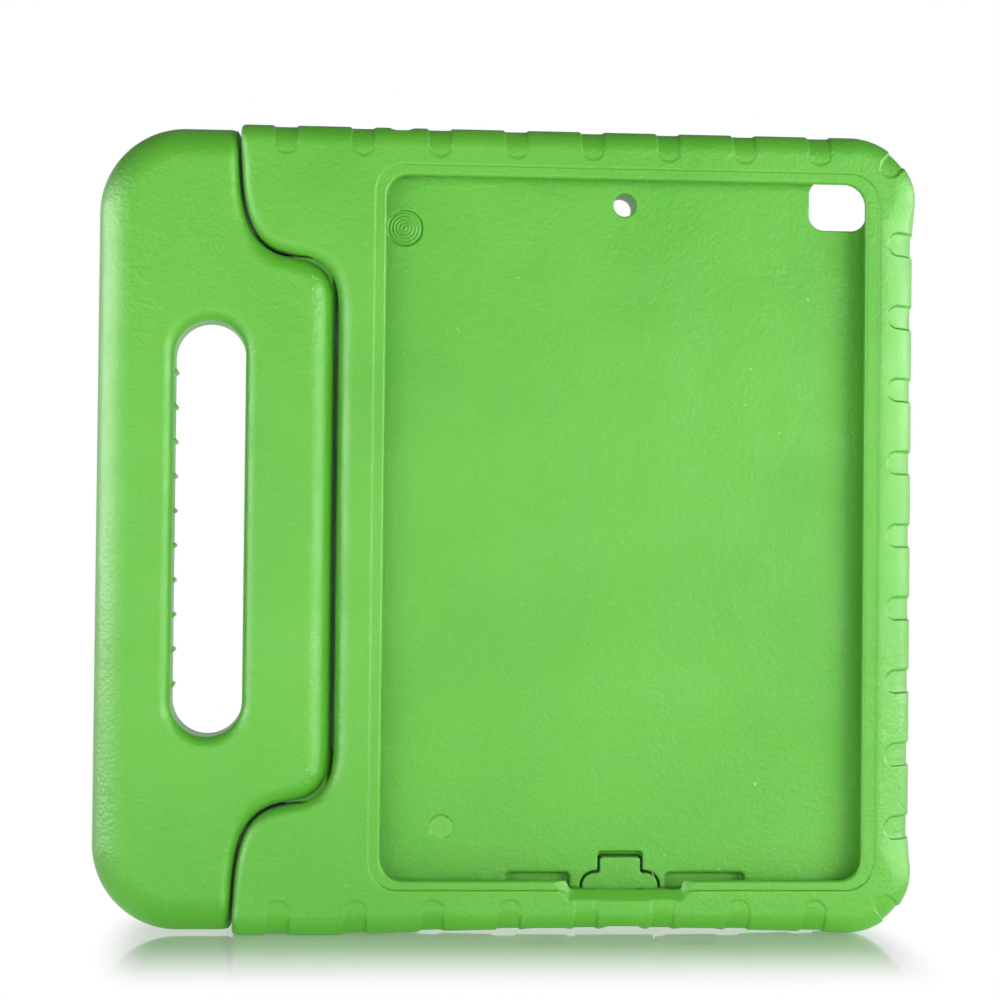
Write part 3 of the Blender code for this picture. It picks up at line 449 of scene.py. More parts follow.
def swept_by_handle(x, y, z):
    """What the handle passes through behind the ears as it turns back."""
    rho = np.hypot(x - HINGE_X, y)
    near = (x < HINGE_X + 16.0) & (y > -2.0)
    turned, values = parting(HINGE_X - rho, z, near)
    swept = np.maximum(turned + values[GAP] - SWEEP_GAP, SWEEP_LEAST_R - rho)
    swept = np.maximum(swept, SWEEP_FRONT_Y - y)
    swept = np.maximum(swept, MID_Z - SWEEP_END - from_middle(z))
    flank = np.maximum(rho - FLANK_R, from_middle(z) - (MID_Z - FLANK_END))
    flank = np.maximum(flank, x - HINGE_X - FLANK_RIGHT)
    swept = np.where(x > HINGE_X, np.maximum(swept, flank), swept)
    return np.where(near, swept, FAR)


def notch_hollows(x, y, z):
    """The notches, which sink a little into the body's edges and faces."""
    inset = NOTCH_EDGE_DEPTH
    flat = rounded_rectangle(x, z, BODY_BLANK_LEFT, RIGHT - inset, inset, HEIGHT - inset, CORNER_R - inset)
    front_r = front_radius(x, z) + NOTCH_ROUNDER
    core = faces(flat, y, HALF - NOTCH_FACE_DEPTH, front_r, EDGE_BACK_R + NOTCH_ROUNDER)
    return -soft_min(-notch_prisms(x, z), core, 0.6)


def lip_opening(x, y, z):
    """The opening in the lip, with a round rim."""
    opening = rounded_rectangle(
        x, z, OPENING_LEFT, OPENING_RIGHT, OPENING_BOTTOM, OPENING_TOP, OPENING_R
    )
    rim = np.clip((y + HALF - BAND_STEP) / LIP_RIM_R, 0.0, 1.0)
    flare = LIP_RIM_R * (1.0 - np.sqrt(1.0 - (1.0 - rim) ** 2))
    return np.maximum(opening - flare, y - LIP_BACK - PAST)


def tray_hollow(x, y, z):
    """The tray behind the lip."""
    tray = rounded_rectangle(x, z, TRAY_LEFT, TRAY_RIGHT, TRAY_BOTTOM, TRAY_TOP, TRAY_R)
    return soft_max(soft_max(tray, y - FLOOR_Y, 1.6), LIP_BACK - y, 0.8)


def scoop_hollow(x, y, z):
    """The scoop in the lower lip: a notch with sloping sides, deeper at the lip's front."""
    t = np.clip((y + HALF) / LIP_DEPTH, -0.2, 1.1)
    here = (front + (back - front) * t for front, back in zip(SCOOP_FRONT, SCOOP_BACK))
    base, left, right, left_lean, right_lean, rise = here
    left_end = FLAP_X - left - (z - base) * (left_lean / rise)
    right_end = FLAP_X + right + (z - base) * (right_lean / rise)
    sides = np.maximum((left_end - x) * 0.8, (x - right_end) * 0.8)
    scoop = soft_max(soft_max(sides, base - z, 1.2), z - SCOOP_TOP, 0.4)
    return np.maximum(scoop, y - LIP_BACK - 0.4)


def flap_outline(x, z, gap, top_gap):
    """The flap's outline, a neck over a wider shoulder, grown by its gaps."""
    u = np.abs(x - FLAP_X)
    neck = corner(u - FLAP_NECK - gap, z - FLAP_TOP - top_gap, 1.5)
    wide = corner(u - FLAP_WIDE - gap, z - FLAP_SHOULDER - gap, 4.6 + gap)
    return soft_min(neck, wide, 1.0)


def port_hollow(x, y, z):
    """The flap's opening through the back of the tray."""
    wider = PORT_WIDER * np.clip((y - PORT_WIDER_Y) / PORT_WIDER_RAMP, 0.0, 1.0)
    ledge = LEDGE * np.clip((y - LEDGE_Y) / LEDGE_RAMP, 0.0, 1.0)
    ledge = ledge * np.clip((PORT_WIDER_Y - y) / PORT_WIDER_RAMP, 0.0, 1.0)
    outline = flap_outline(x, z, FLAP_SIDE_GAP + wider, FLAP_TOP_GAP + wider - ledge)
    return np.maximum(outline, PORT_FRONT_Y - y)


def camera_hollow(x, y, z):
    """The camera hole, which flares towards the back."""
    outline = rounded_rectangle(x, z, CAMERA_LEFT, CAMERA_RIGHT, CAMERA_BOTTOM, CAMERA_TOP, CAMERA_R)
    flare = 0.0
    for depth, slope in CAMERA_FLARES:
        flare = np.maximum(flare, (y - depth) * slope)
    return np.maximum(outline - flare, CUT_FRONT_Y - y)


def edge_slot(x, y, z, left, right, front, back, r):
    """A slot through the lower edge into the tray."""
    return np.maximum(rounded_rectangle(x, y, FLAP_X + left, FLAP_X + right, front, back, r), z - SLOT_TOP)


def body_hollows(x, y, z):
    """The small hollows in the body, each with its fillet."""
    for mark_x, mark_z, radius, depth in (MOULD_MARK, EJECTOR_MARK):
        disc = np.hypot(x - mark_x, z - mark_z) - radius
        yield np.maximum(disc * 0.7, np.abs(y - FLOOR_Y) - depth), 0.3
    yield scoop_hollow(x, y, z), 0.6
    yield camera_hollow(x, y, z), 0.7
    yield np.maximum(np.hypot(x - MIC[0], z - MIC[1]) - MIC[2], CUT_FRONT_Y - y), 0.8
    yield np.maximum(np.hypot(x - JACK[0], y - JACK[1]) - JACK[2], JACK_BOTTOM - z), 1.2
    yield port_hollow(x, y, z), 0.7
    yield edge_slot(x, y, z, -PORT_SLOT_HALF, PORT_SLOT_HALF, PORT_SLOT_FRONT_Y, PORT_SLOT_BACK_Y, 2.5), 0.6
    for left, right, slot_left, slot_right in SPEAKER_SPANS:
        recess = rounded_rectangle(x, z, FLAP_X + left, FLAP_X + right, RECESS_BOTTOM, RECESS_TOP, 1.6)
        yield soft_max(recess, between(y, SPEAKER_FRONT_Y, RECESS_BACK_Y), 1.0), 1.2
        yield edge_slot(x, y, z, slot_left, slot_right, SPEAKER_FRONT_Y, SPEAKER_BACK_Y, 2.4), 0.6
    bore_end = from_middle(z) - (PIN_TOP + PIN_FIT - MID_Z)
    yield np.maximum(np.hypot(x - HINGE_X, y) - PIN_BORE_R, bore_end), 0.3
    panel = rounded_rectangle(x, z, PANEL_LEFT, PANEL_RIGHT, PANEL_BOTTOM, PANEL_TOP, PANEL_R)
    yield np.maximum(panel * 0.7, HALF - PANEL_DEPTH - y), 1.0


def body_field(x, y, z):
    """The foam body. Its lower edge bows up a little between the ends that it stands on."""
    bow = BOW * np.clip(1.0 - ((x - BOW_X) / BOW_HALF) ** 2, 0.0, 1.0)
    z = z - bow * np.clip(1.0 - z / TRAY_BOTTOM, 0.0, 1.0)
    body = without(body_blank(x, y, z), swept_by_handle(x, y, z), 0.5)
    rho = np.hypot(x - HINGE_X, y)
    body = without(body, corner(rho - POCKET_R, from_middle(z) - POCKET_HALF, POCKET_END_R), 0.6)
    body = without(body, notch_hollows(x, y, z), 0.6)
    band = rounded_rectangle(x, z, BAND_LEFT, BAND_RIGHT, BAND_BOTTOM, BAND_TOP, BAND_R)
    body = without(body, np.maximum(band * 0.8, y + HALF - BAND_STEP), 0.9)
    body = np.maximum(body, -lip_opening(x, y, z))
    body = without(body, tray_hollow(x, y, z), 0.5)
    for hollow, fillet in body_hollows(x, y, z):
        body = without(body, hollow, fillet)
    return body


def handle_field(x, y, z):
    """The foam handle."""
    flat = rounded_rectangle(
        x, z, HANDLE_LEFT, HANDLE_BLANK_RIGHT, HANDLE_END_GAP, HEIGHT - HANDLE_END_GAP, HANDLE_CORNER_R
    )
    side, values = parting(x, z)
    edge = side + values[GAP] - values[HANDLE_REACH] * reach_share(y)
    handle = corner(faces(flat, y, HANDLE_HALF, HANDLE_EDGE_R, HANDLE_EDGE_R), edge, values[HANDLE_R])

    # The ears' place, which turns about the hinge
    rho = np.hypot(x - HINGE_X, y)
    level = from_middle(z)
    back = (y > -2.0) & (x < HINGE_X + 2.0)
    turned, turned_values = parting(HINGE_X - rho, z, back)
    turned = turned + turned_values[GAP]
    behind = np.maximum(np.maximum(-y, x - HINGE_X), MID_Z - EAR_END - level)
    ear = np.maximum(np.maximum(np.where(back, -turned, FAR), behind), EAR_LEAST_R - rho)
    handle = without(handle, ear, 0.4)

    # The barrel that turns in the body's pocket
    barrel = corner(rho - POCKET_R + BARREL_FIT, level - POCKET_HALF + BARREL_END_FIT, POCKET_END_R)
    barrel = np.maximum(barrel, np.maximum(np.abs(y) - BARREL_HALF_DEPTH, BARREL_LEFT - x))
    barrel = np.maximum(barrel, MID_Z - BARREL_END - level)
    handle = soft_min(handle, barrel, 0.4)

    # The dome that closes the gap behind the ears
    dome = np.maximum(np.maximum(turned - DOME_FIT, side - DOME_REACH), DOME_FRONT_Y - y)
    dome = np.maximum(dome, np.maximum(level - MID_Z + DOME_END, rho - DOME_R))
    dome = np.maximum(np.maximum(dome, y - DOME_BACK_Y), x - DOME_RIGHT)
    handle = soft_min(handle, np.where(back, dome, FAR), 0.4)

    hole = segment(x, z, (HOLE_X, MID_Z - HOLE_END), (HOLE_X, MID_Z + HOLE_END)) - HOLE_HALF_WIDTH
    handle = np.maximum(handle, faces(-hole, y, HANDLE_HALF, HOLE_EDGE_R, HOLE_EDGE_R))
    last = RIB_COUNT / 2 - 1
    rib_z = MID_Z + RIB_PITCH * (np.round((z - MID_Z) / RIB_PITCH - 0.5).clip(-last - 1, last) + 0.5)
    rib_x = HOLE_X - HOLE_HALF_WIDTH + RIB_RISE - RIB_RADIUS
    rib = np.hypot(x - rib_x, z - rib_z) - RIB_RADIUS
    handle = soft_min(handle, corner(rib, between(y, RIB_FRONT_Y, RIB_BACK_Y), 0.6), 0.5)

    bore = np.maximum(rho - PIN_BORE_R, PIN_FLOOR - PIN_FIT - MID_Z - level)
    return without(handle, bore, 0.3)


def flap_field(x, y, z):
    """The charging port flap, hung from a thin web at its upper back edge."""
    lip = FLAP_LIP * np.clip((y - FLAP_LIP_Y) / FLAP_LIP_RAMP, 0.0, 1.0)
    flap = corner(flap_outline(x, z, lip, 0.0), between(y, FLOOR_Y, HALF), 0.5)
    swing = np.hypot(y - FLAP_AXIS[0], z - FLAP_AXIS[1]) - FLAP_SWING_R
    foot = np.where(z < FLAP_AXIS[1], np.maximum(swing, FLAP_FOOT - z), -FAR)
    flap = soft_max(flap, foot, 0.8)
    web = rounded_rectangle(x, z, FLAP_X - WEB_HALF_WIDTH, FLAP_X + WEB_HALF_WIDTH, WEB_BOTTOM, WEB_TOP, 0.4)
    return np.minimum(flap, corner(web, between(y, WEB_FRONT_Y, WEB_BACK_Y), 0.3))


# Meshes from fields

def graded(spans):
    """Grid lines that step finely or coarsely, from (start, step) pairs and a last (end, None)."""
    lines = []
    for (start, step), (end, _) in zip(spans, spans[1:]):
        count = max(1, int(round((end - start) / step)))
        lines += [start + (end - start) * i / count for i in range(count)]
    return np.array(lines + [spans[-1][0]], np.float32)


def gradient(field, points):
    """The field's slope at each point."""
    reach = 0.02
    slopes = []
    for axis in range(3):
        step = np.zeros(3, np.float32)
        step[axis] = reach
        high = field(*(points + step).T)
        low = field(*(points - step).T)
        slopes.append((high - low) / (2 * reach))
    return np.stack(slopes, 1)


def on_surface(field, points, turns, most):
    """Moves points onto the field's surface, each by at most a distance."""
    least_slope = 0.2
    longest_step = 0.3
    start = points.copy()
    for _ in range(turns):
        slope = gradient(field, points)
        square = np.maximum((slope ** 2).sum(1), least_slope)
        move = slope * (field(*points.T) / square)[:, None]
        length = np.linalg.norm(move, axis=1)
        move *= np.minimum(1.0, longest_step / np.maximum(length, 1e-6))[:, None]
        points = points - move
    away = points - start
    length = np.linalg.norm(away, axis=1)
    return start + away * np.minimum(1.0, most / np.maximum(length, 1e-6))[:, None]


def net(field, xs, ys, zs):
    """A quad mesh over the field's surface: one point in each grid cell that the surface crosses."""
    grid = field(xs[:, None, None], ys[None, :, None], zs[None, None, :]).astype(np.float32)
    grid = np.broadcast_to(grid, (xs.size, ys.size, zs.size))
    inside = grid < 0.0
    shape = tuple(n - 1 for n in grid.shape)
    total = np.zeros(shape + (3,), np.float32)
    crossings = np.zeros(shape, np.int32)
    lines = (xs, ys, zs)
    quads = []

    def part(axis_offsets):
        return tuple(slice(o, o + n) for o, n in zip(axis_offsets, shape))

    for axis in range(3):
        others = [a for a in range(3) if a != axis]
        for i in (0, 1):
            for j in (0, 1):
                low = [0, 0, 0]
                low[others[0]], low[others[1]] = i, j
                high = list(low)
                high[axis] = 1
                a, b = grid[part(low)], grid[part(high)]
                crossed = (a < 0.0) != (b < 0.0)
                where = np.nonzero(crossed)
                t = a[where] / (a[where] - b[where])
                for k in range(3):
                    if k == axis:
                        start = lines[k][:-1][where[k]]
                        value = start + (lines[k][1:] - lines[k][:-1])[where[k]] * t
                    else:
                        value = lines[k][where[k] + low[k]]
                    total[where + (np.full(t.size, k),)] += value
                crossings[where] += 1
    used = crossings > 0
    index = np.full(shape, -1, np.int64)
    index[used] = np.arange(int(used.sum()))
    points = total[used] / crossings[used][:, None]

    for axis in range(3):
        others = [a for a in range(3) if a != axis]
        low = [slice(None)] * 3
        high = [slice(None)] * 3
        low[axis], high[axis] = slice(0, -1), slice(1, None)
        for o in others:
            low[o] = high[o] = slice(1, -1)
        a, b = inside[tuple(low)], inside[tuple(high)]
        where = np.nonzero(a != b)
        leaves = a[where]
        cell = [w.copy() for w in where]
        around = []
        for i, j in ((0, 0), (1, 0), (1, 1), (0, 1)):
            at = [None] * 3
            at[axis] = cell[axis]
            at[others[0]] = cell[others[0]] + i
            at[others[1]] = cell[others[1]] + j
            around.append(index[tuple(at)])
        quad = np.stack(around, 1)
        if axis == 1:
            leaves = ~leaves
        quad[~leaves] = quad[~leaves][:, ::-1]
        quads.append(quad)
    return points, np.vstack(quads)


def mesh_from(name, points, quads):
    """A mesh object in metres."""
    mesh = bpy.data.meshes.new(name)
    mesh.vertices.add(len(points))
    mesh.vertices.foreach_set("co", (points * MM).astype(np.float32).ravel())
    mesh.loops.add(quads.size)
    mesh.loops.foreach_set("vertex_index", quads.astype(np.int32).ravel())
    mesh.polygons.add(len(quads))
    mesh.polygons.foreach_set("loop_start", np.arange(0, quads.size, 4, dtype=np.int32))
    mesh.update(calc_edges=True)
    item = bpy.data.objects.new(name, mesh)
    bpy.context.scene.collection.objects.link(item)
    return item


def foam_piece(name, field, xs, ys, zs, most_faces):
    """A foam piece as a mesh with at most so many triangles, shaded by the field's own slope."""
    points, quads = net(field, xs, ys, zs)
    points = on_surface(field, points, 2, 0.6)
    item = mesh_from(name, points, quads)
    faces_now = 2 * len(quads)
    if faces_now > most_faces:
        bpy.context.view_layer.objects.active = item
        thin = item.modifiers.new("thin out", "DECIMATE")
        thin.ratio = most_faces / faces_now
        graph = bpy.context.evaluated_depsgraph_get()
        mesh = bpy.data.meshes.new_from_object(item.evaluated_get(graph))
        item.modifiers.clear()
        old = item.data
        item.data = mesh
        bpy.data.meshes.remove(old)
    mesh = item.data
    co = np.empty(len(mesh.vertices) * 3, np.float32)
    mesh.vertices.foreach_get("co", co)
    points = on_surface(field, co.reshape(-1, 3) / MM, 1, 0.3)
    mesh.vertices.foreach_set("co", (points * MM).astype(np.float32).ravel())
    mesh.update()
    mesh.shade_smooth()
    slope = gradient(field, points)
    slope /= np.maximum(np.linalg.norm(slope, axis=1), 1e-6)[:, None]
    mesh.normals_split_custom_set_from_vertices([tuple(n) for n in slope.astype(float)])
    return item


# Grids: fine at the features, coarser between them

STEP = 1.0
BODY_FACES = 190000
HANDLE_FACES = 150000
FLAP_FACES = 40000


def depths(half):
    """Grid lines through a piece's depth."""
    return graded([
        (-half - 1.0, 0.5 * STEP), (-half + 3.6, 0.7 * STEP), (FLOOR_Y - 1.0, 0.5 * STEP),
        (FLOOR_Y + 2.2, 0.9 * STEP), (half - 3.0, 0.5 * STEP), (half + 1.0, None),
    ])


def build_body():
    xs = graded([
        (HINGE_X - 23.0, 0.7 * STEP), (OPENING_LEFT + 2.0, 1.0 * STEP), (FLAP_X - 30.0, 0.7 * STEP),
        (FLAP_X + 32.0, 1.0 * STEP), (CAMERA_RIGHT - 22.0, 0.65 * STEP), (RIGHT + 1.0, None),
    ])
    zs = graded([
        (-1.0, 0.6 * STEP), (TRAY_BOTTOM + 14.0, 0.85 * STEP), (TRAY_TOP - 30.0, 0.7 * STEP),
        (HEIGHT + 1.0, None),
    ])
    return foam_piece("foam_body", body_field, xs, depths(HALF), zs, BODY_FACES)


def build_handle():
    xs = graded([(HANDLE_LEFT - 1.0, 0.75 * STEP), (HINGE_X + 14.5, None)])
    zs = graded([
        (0.0, 0.8 * STEP), (50.0, 1.0 * STEP), (80.0, 0.7 * STEP), (HEIGHT - 80.0, 1.0 * STEP),
        (HEIGHT - 50.0, 0.8 * STEP), (HEIGHT, None),
    ])
    return foam_piece("foam_handle", handle_field, xs, depths(HANDLE_HALF), zs, HANDLE_FACES)


def build_flap():
    xs = graded([(FLAP_X - FLAP_WIDE - 1.0, 0.45 * STEP), (FLAP_X + FLAP_WIDE + 1.0, None)])
    ys = graded([(FLOOR_Y - 1.0, 0.45 * STEP), (HALF + 0.6, None)])
    zs = graded([(0.0, 0.45 * STEP), (FLAP_TOP + 2.5, None)])
    return foam_piece("foam_flap", flap_field, xs, ys, zs, FLAP_FACES)


# Materials

FOAM = (0.098, 0.430, 0.022)
FOAM_DEEP = (0.080, 0.395, 0.016)
FOAM_PALE = (0.150, 0.490, 0.056)
SCUFF = (0.42, 0.74, 0.26)
PIN_GREY = (0.40, 0.42, 0.40)
PIN_GREY_DEEP = (0.34, 0.36, 0.34)

# Relief of the foam's skin in metres, and its slow waves and the mould's rings as multiples of that
SKIN_RELIEF = 0.00022
WAVE = 5.0
RING_RELIEF = 0.4
RING_PITCH = 1.2
PIN_RELIEF = 0.00005

# Pale scuffs on the body: x, z and size in millimetres
SCUFFS = (
    (-18.5, 211.0, 1.3), (-13.2, 212.9, 1.0), (96.1, 176.5, 1.0), (83.5, 186.2, 0.9),
    (56.5, 27.3, 1.2), (65.3, 24.9, 1.1), (76.0, 22.1, 1.1),
)


class Nodes:
    """Short calls for a material's nodes."""

    def __init__(self, name):
        self.mat = bpy.data.materials.new(name)
        self.mat.use_nodes = True
        self.tree = self.mat.node_tree
        self.shader = self.tree.nodes["Principled BSDF"]
        self.place = self.add("ShaderNodeTexCoord").outputs["Object"]

    def add(self, kind, **settings):
        node = self.tree.nodes.new(kind)
        for key, value in settings.items():
            setattr(node, key, value)
        return node

    def put(self, socket, value):
        if isinstance(value, bpy.types.NodeSocket):
            self.tree.links.new(value, socket)
        elif isinstance(value, tuple) and len(value) == 3 and socket.type == "RGBA":
            socket.default_value = value + (1.0,)
        else:
            socket.default_value = value

    def math(self, operation, a, b=0.0):
        node = self.add("ShaderNodeMath", operation=operation)
        self.put(node.inputs[0], a)
        self.put(node.inputs[1], b)
        return node.outputs[0]

    def span(self, value, low, high, to_low=0.0, to_high=1.0):
        node = self.add("ShaderNodeMapRange", interpolation_type="SMOOTHSTEP")
        for socket, item in zip(node.inputs, (value, low, high, to_low, to_high)):
            self.put(socket, item)
        return node.outputs[0]

    def noise(self, scale, detail=2.0, roughness=0.5, place=None):
        node = self.add("ShaderNodeTexNoise")
        self.put(node.inputs["Vector"], place or self.place)
        node.inputs["Scale"].default_value = scale
        node.inputs["Detail"].default_value = detail
        node.inputs["Roughness"].default_value = roughness
        return node.outputs["Fac"]

    def cells(self, scale):
        node = self.add("ShaderNodeTexVoronoi")
        self.put(node.inputs["Vector"], self.place)
        node.inputs["Scale"].default_value = scale
        return node.outputs["Distance"]

    def mix(self, share, a, b):
        node = self.add("ShaderNodeMix", data_type="RGBA")
        colours = [s for s in node.inputs if s.type == "RGBA"]
        self.put(node.inputs["Factor"], share)
        self.put(colours[0], a)
        self.put(colours[1], b)
        return [s for s in node.outputs if s.type == "RGBA"][0]

    def bump(self, height, distance):
        node = self.add("ShaderNodeBump")
        node.inputs["Strength"].default_value = 1.0
        node.inputs["Distance"].default_value = distance
        self.put(node.inputs["Height"], height)
        return node.outputs["Normal"]

    def moved(self, offset, turn=0.0, stretch=(1.0, 1.0, 1.0)):
        node = self.add("ShaderNodeMapping", vector_type="TEXTURE")
        self.put(node.inputs["Vector"], self.place)
        node.inputs["Location"].default_value = offset
        node.inputs["Rotation"].default_value = (0.0, turn, 0.0)
        node.inputs["Scale"].default_value = stretch
        return node.outputs["Vector"]

    def length(self, vector):
        node = self.add("ShaderNodeVectorMath", operation="LENGTH")
        self.put(node.inputs[0], vector)
        return node.outputs["Value"]

    def axes(self):
        node = self.add("ShaderNodeSeparateXYZ")
        self.put(node.inputs[0], self.place)
        return node.outputs


def foam_material(name, duller, scuffs=(), with_mould_marks=False):
    """Moulded EVA foam: satin green with a fine pebbled skin, soft unevenness and pale rubbed edges."""
    n = Nodes(name)
    large = n.noise(14.0, 3.0)
    fine = n.noise(420.0, 3.0, 0.6)
    colour = n.mix(n.span(large, 0.35, 0.65), FOAM_DEEP, FOAM)
    colour = n.mix(n.math("MULTIPLY", n.span(fine, 0.55, 0.75), 0.30), colour, FOAM_PALE)
    geometry = n.add("ShaderNodeNewGeometry")
    rubbed = n.span(geometry.outputs["Pointiness"], 0.52, 0.60)
    rubbed = n.math("MULTIPLY", rubbed, n.span(large, 0.35, 0.60))
    colour = n.mix(n.math("MULTIPLY", rubbed, 0.28), colour, FOAM_PALE)
    flecks = n.span(n.cells(60.0), 0.045, 0.02)
    for x, z, size in scuffs:
        place = n.moved((x * MM, FLOOR_Y * MM, z * MM), 0.5, (1.0, 3.0, 0.6))
        spot = n.span(n.length(place), size * MM, size * 0.4 * MM)
        flecks = n.math("MAXIMUM", flecks, spot)
    flecks = n.math("MULTIPLY", flecks, n.span(fine, 0.45, 0.60))
    colour = n.mix(n.math("MULTIPLY", flecks, 0.55), colour, SCUFF)
    pebble = n.math("ADD", n.noise(300.0, 3.0, 0.6), n.math("MULTIPLY", n.cells(750.0), 0.35))
    height = n.math("ADD", pebble, n.math("MULTIPLY", n.noise(24.0, 1.0), WAVE))
    if with_mould_marks:
        rings, paler = mould_marks(n)
        height = n.math("ADD", height, n.math("MULTIPLY", rings, RING_RELIEF))
        colour = n.mix(n.math("MULTIPLY", paler, 0.5), colour, FOAM_PALE)
    n.put(n.shader.inputs["Base Color"], colour)
    n.put(n.shader.inputs["Normal"], n.bump(height, SKIN_RELIEF))

    rough = n.span(n.noise(55.0, 2.0, 0.6), 0.30, 0.70, 0.42 + duller, 0.52 + duller)
    n.put(n.shader.inputs["Roughness"], rough)
    n.shader.inputs["IOR"].default_value = 1.47
    n.shader.inputs["Sheen Weight"].default_value = 0.06
    n.shader.inputs["Sheen Roughness"].default_value = 0.45
    return n.mat


def mould_marks(n):
    """The skin in the mould's sunk discs on the tray floor, as a height and a share of paler skin: fine
    turned rings in one disc, and smooth paler skin in the other."""
    off_floor = n.math("ABSOLUTE", n.math("SUBTRACT", n.axes()["Y"], FLOOR_Y * MM))
    on_floor = n.span(off_floor, 1.6 * MM, 1.2 * MM)
    found = []
    for (x, z, radius, _), soft in ((MOULD_MARK, 0.15), (EJECTOR_MARK, 0.2)):
        distance = n.length(n.moved((x * MM, FLOOR_Y * MM, z * MM), 0.0, (1.0, 1000.0, 1.0)))
        found.append((distance, n.span(distance, (radius + soft) * MM, (radius - soft) * MM)))
    (from_rings, in_rings), (_, in_ejector) = found
    wave = n.math("SINE", n.math("MULTIPLY", from_rings, 2 * math.pi / (RING_PITCH * MM)))
    rings = n.math("MULTIPLY", n.math("MULTIPLY", wave, in_rings), on_floor)
    return rings, n.math("MULTIPLY", in_ejector, on_floor)


def pin_material():
    """Grey moulded plastic with faint lengthwise scratches."""
    n = Nodes("pin_plastic")
    streaks = n.noise(300.0, 3.0, 0.6, n.moved((0.0, 0.0, 0.0), 0.0, (1.0, 1.0, 30.0)))
    colour = n.mix(n.span(streaks, 0.3, 0.7), PIN_GREY_DEEP, PIN_GREY)
    n.put(n.shader.inputs["Base Color"], colour)
    n.put(n.shader.inputs["Roughness"], n.span(streaks, 0.3, 0.7, 0.30, 0.42))
    n.put(n.shader.inputs["Normal"], n.bump(streaks, PIN_RELIEF))
    return n.mat


# The studio, in metres

AMBIENT = 0.06
FLOOR_SIZE = 6.0
FLOOR_Z = -0.0002
FLAG_Z = 1.0
FLAG_SHARE = 0.25

# The floor shows the camera its own shading near the object, and the background's white away from it.
# The shaded strip runs along X before the object, as far out as a half length, and fades beyond that.
SHADE_Y = -0.012
SHADE_HALF = 0.120
SHADE_SIDE_FALL = 5.0
SHADE_NEAR = 0.004
SHADE_FAR = 0.11
SHADE_LEAST_WHITE = 0.10

# How much light the floor gives the object from below: under it and away from it, and how far that reaches
GLOW_UNDER = 0.40
GLOW_AWAY = 0.85
GLOW_REACH = 0.03

# Lamps: name, place, size, power. The gleams light only the object's sheen.
SOFT_BOXES = (
    ("left_box", (-0.80, -1.10, 0.12), (0.8, 0.7), 6.3),
    ("right_box", (0.88, -1.05, 0.12), (0.8, 0.7), 14.6),
)
FRONT_BOX = ("front_box", (0.2, -1.7, 0.12), (0.9, 0.6), 2.5)
GLEAMS = (
    ("left_gleam", (-1.15, -0.15, 0.12), (1.4, 1.0), 40.0),
    ("right_gleam", (1.15, -0.15, 0.12), (1.4, 1.0), 30.0),
    ("front_gleam", (0.90, -1.00, 0.10), (0.5, 0.9), 3.0),
    ("low_gleam", (0.0, -0.55, 0.03), (1.4, 0.4), 6.0),
)


def floor_material():
    """A glossy white table top. Away from the object it shows the camera the background's plain white."""
    n = Nodes("studio_floor")
    grain = n.noise(3.0, 2.0)
    n.put(n.shader.inputs["Base Color"], n.mix(grain, (0.90, 0.91, 0.91), (0.93, 0.94, 0.94)))
    n.put(n.shader.inputs["Roughness"], n.span(grain, 0.3, 0.7, 0.06, 0.09))
    n.shader.inputs["IOR"].default_value = 1.38
    white = n.add("ShaderNodeEmission")
    white.inputs["Color"].default_value = (1.0, 1.0, 1.0, 1.0)
    path = n.add("ShaderNodeLightPath")
    axes = n.axes()
    beside = n.math("SUBTRACT", n.math("ABSOLUTE", axes["X"]), SHADE_HALF)
    beside = n.math("MULTIPLY", n.math("MAXIMUM", beside, 0.0), SHADE_SIDE_FALL)
    ahead = n.math("SUBTRACT", axes["Y"], SHADE_Y)
    square = n.math("ADD", n.math("MULTIPLY", beside, beside), n.math("MULTIPLY", ahead, ahead))
    distance = n.math("SQRT", square)
    seen = n.math("MAXIMUM", path.outputs["Is Camera Ray"], path.outputs["Is Glossy Ray"])
    white_seen = n.span(distance, SHADE_NEAR, SHADE_FAR, SHADE_LEAST_WHITE, 1.0)
    glow = n.span(distance, 0.0, GLOW_REACH, GLOW_UNDER, GLOW_AWAY)
    unseen_share = n.math("MULTIPLY", n.math("SUBTRACT", 1.0, seen), glow)
    both = n.add("ShaderNodeMixShader")
    n.put(both.inputs[0], n.math("MAXIMUM", n.math("MULTIPLY", seen, white_seen), unseen_share))
    n.put(both.inputs[1], n.shader.outputs["BSDF"])
    n.put(both.inputs[2], white.outputs[0])
    n.put(n.tree.nodes["Material Output"].inputs["Surface"], both.outputs[0])
    return n.mat


def flag_material():
    """Dark cloth."""
    n = Nodes("studio_flag")
    n.put(n.shader.inputs["Base Color"], n.mix(n.noise(4.0), (0.10, 0.10, 0.10), (0.14, 0.14, 0.14)))
    return n.mat


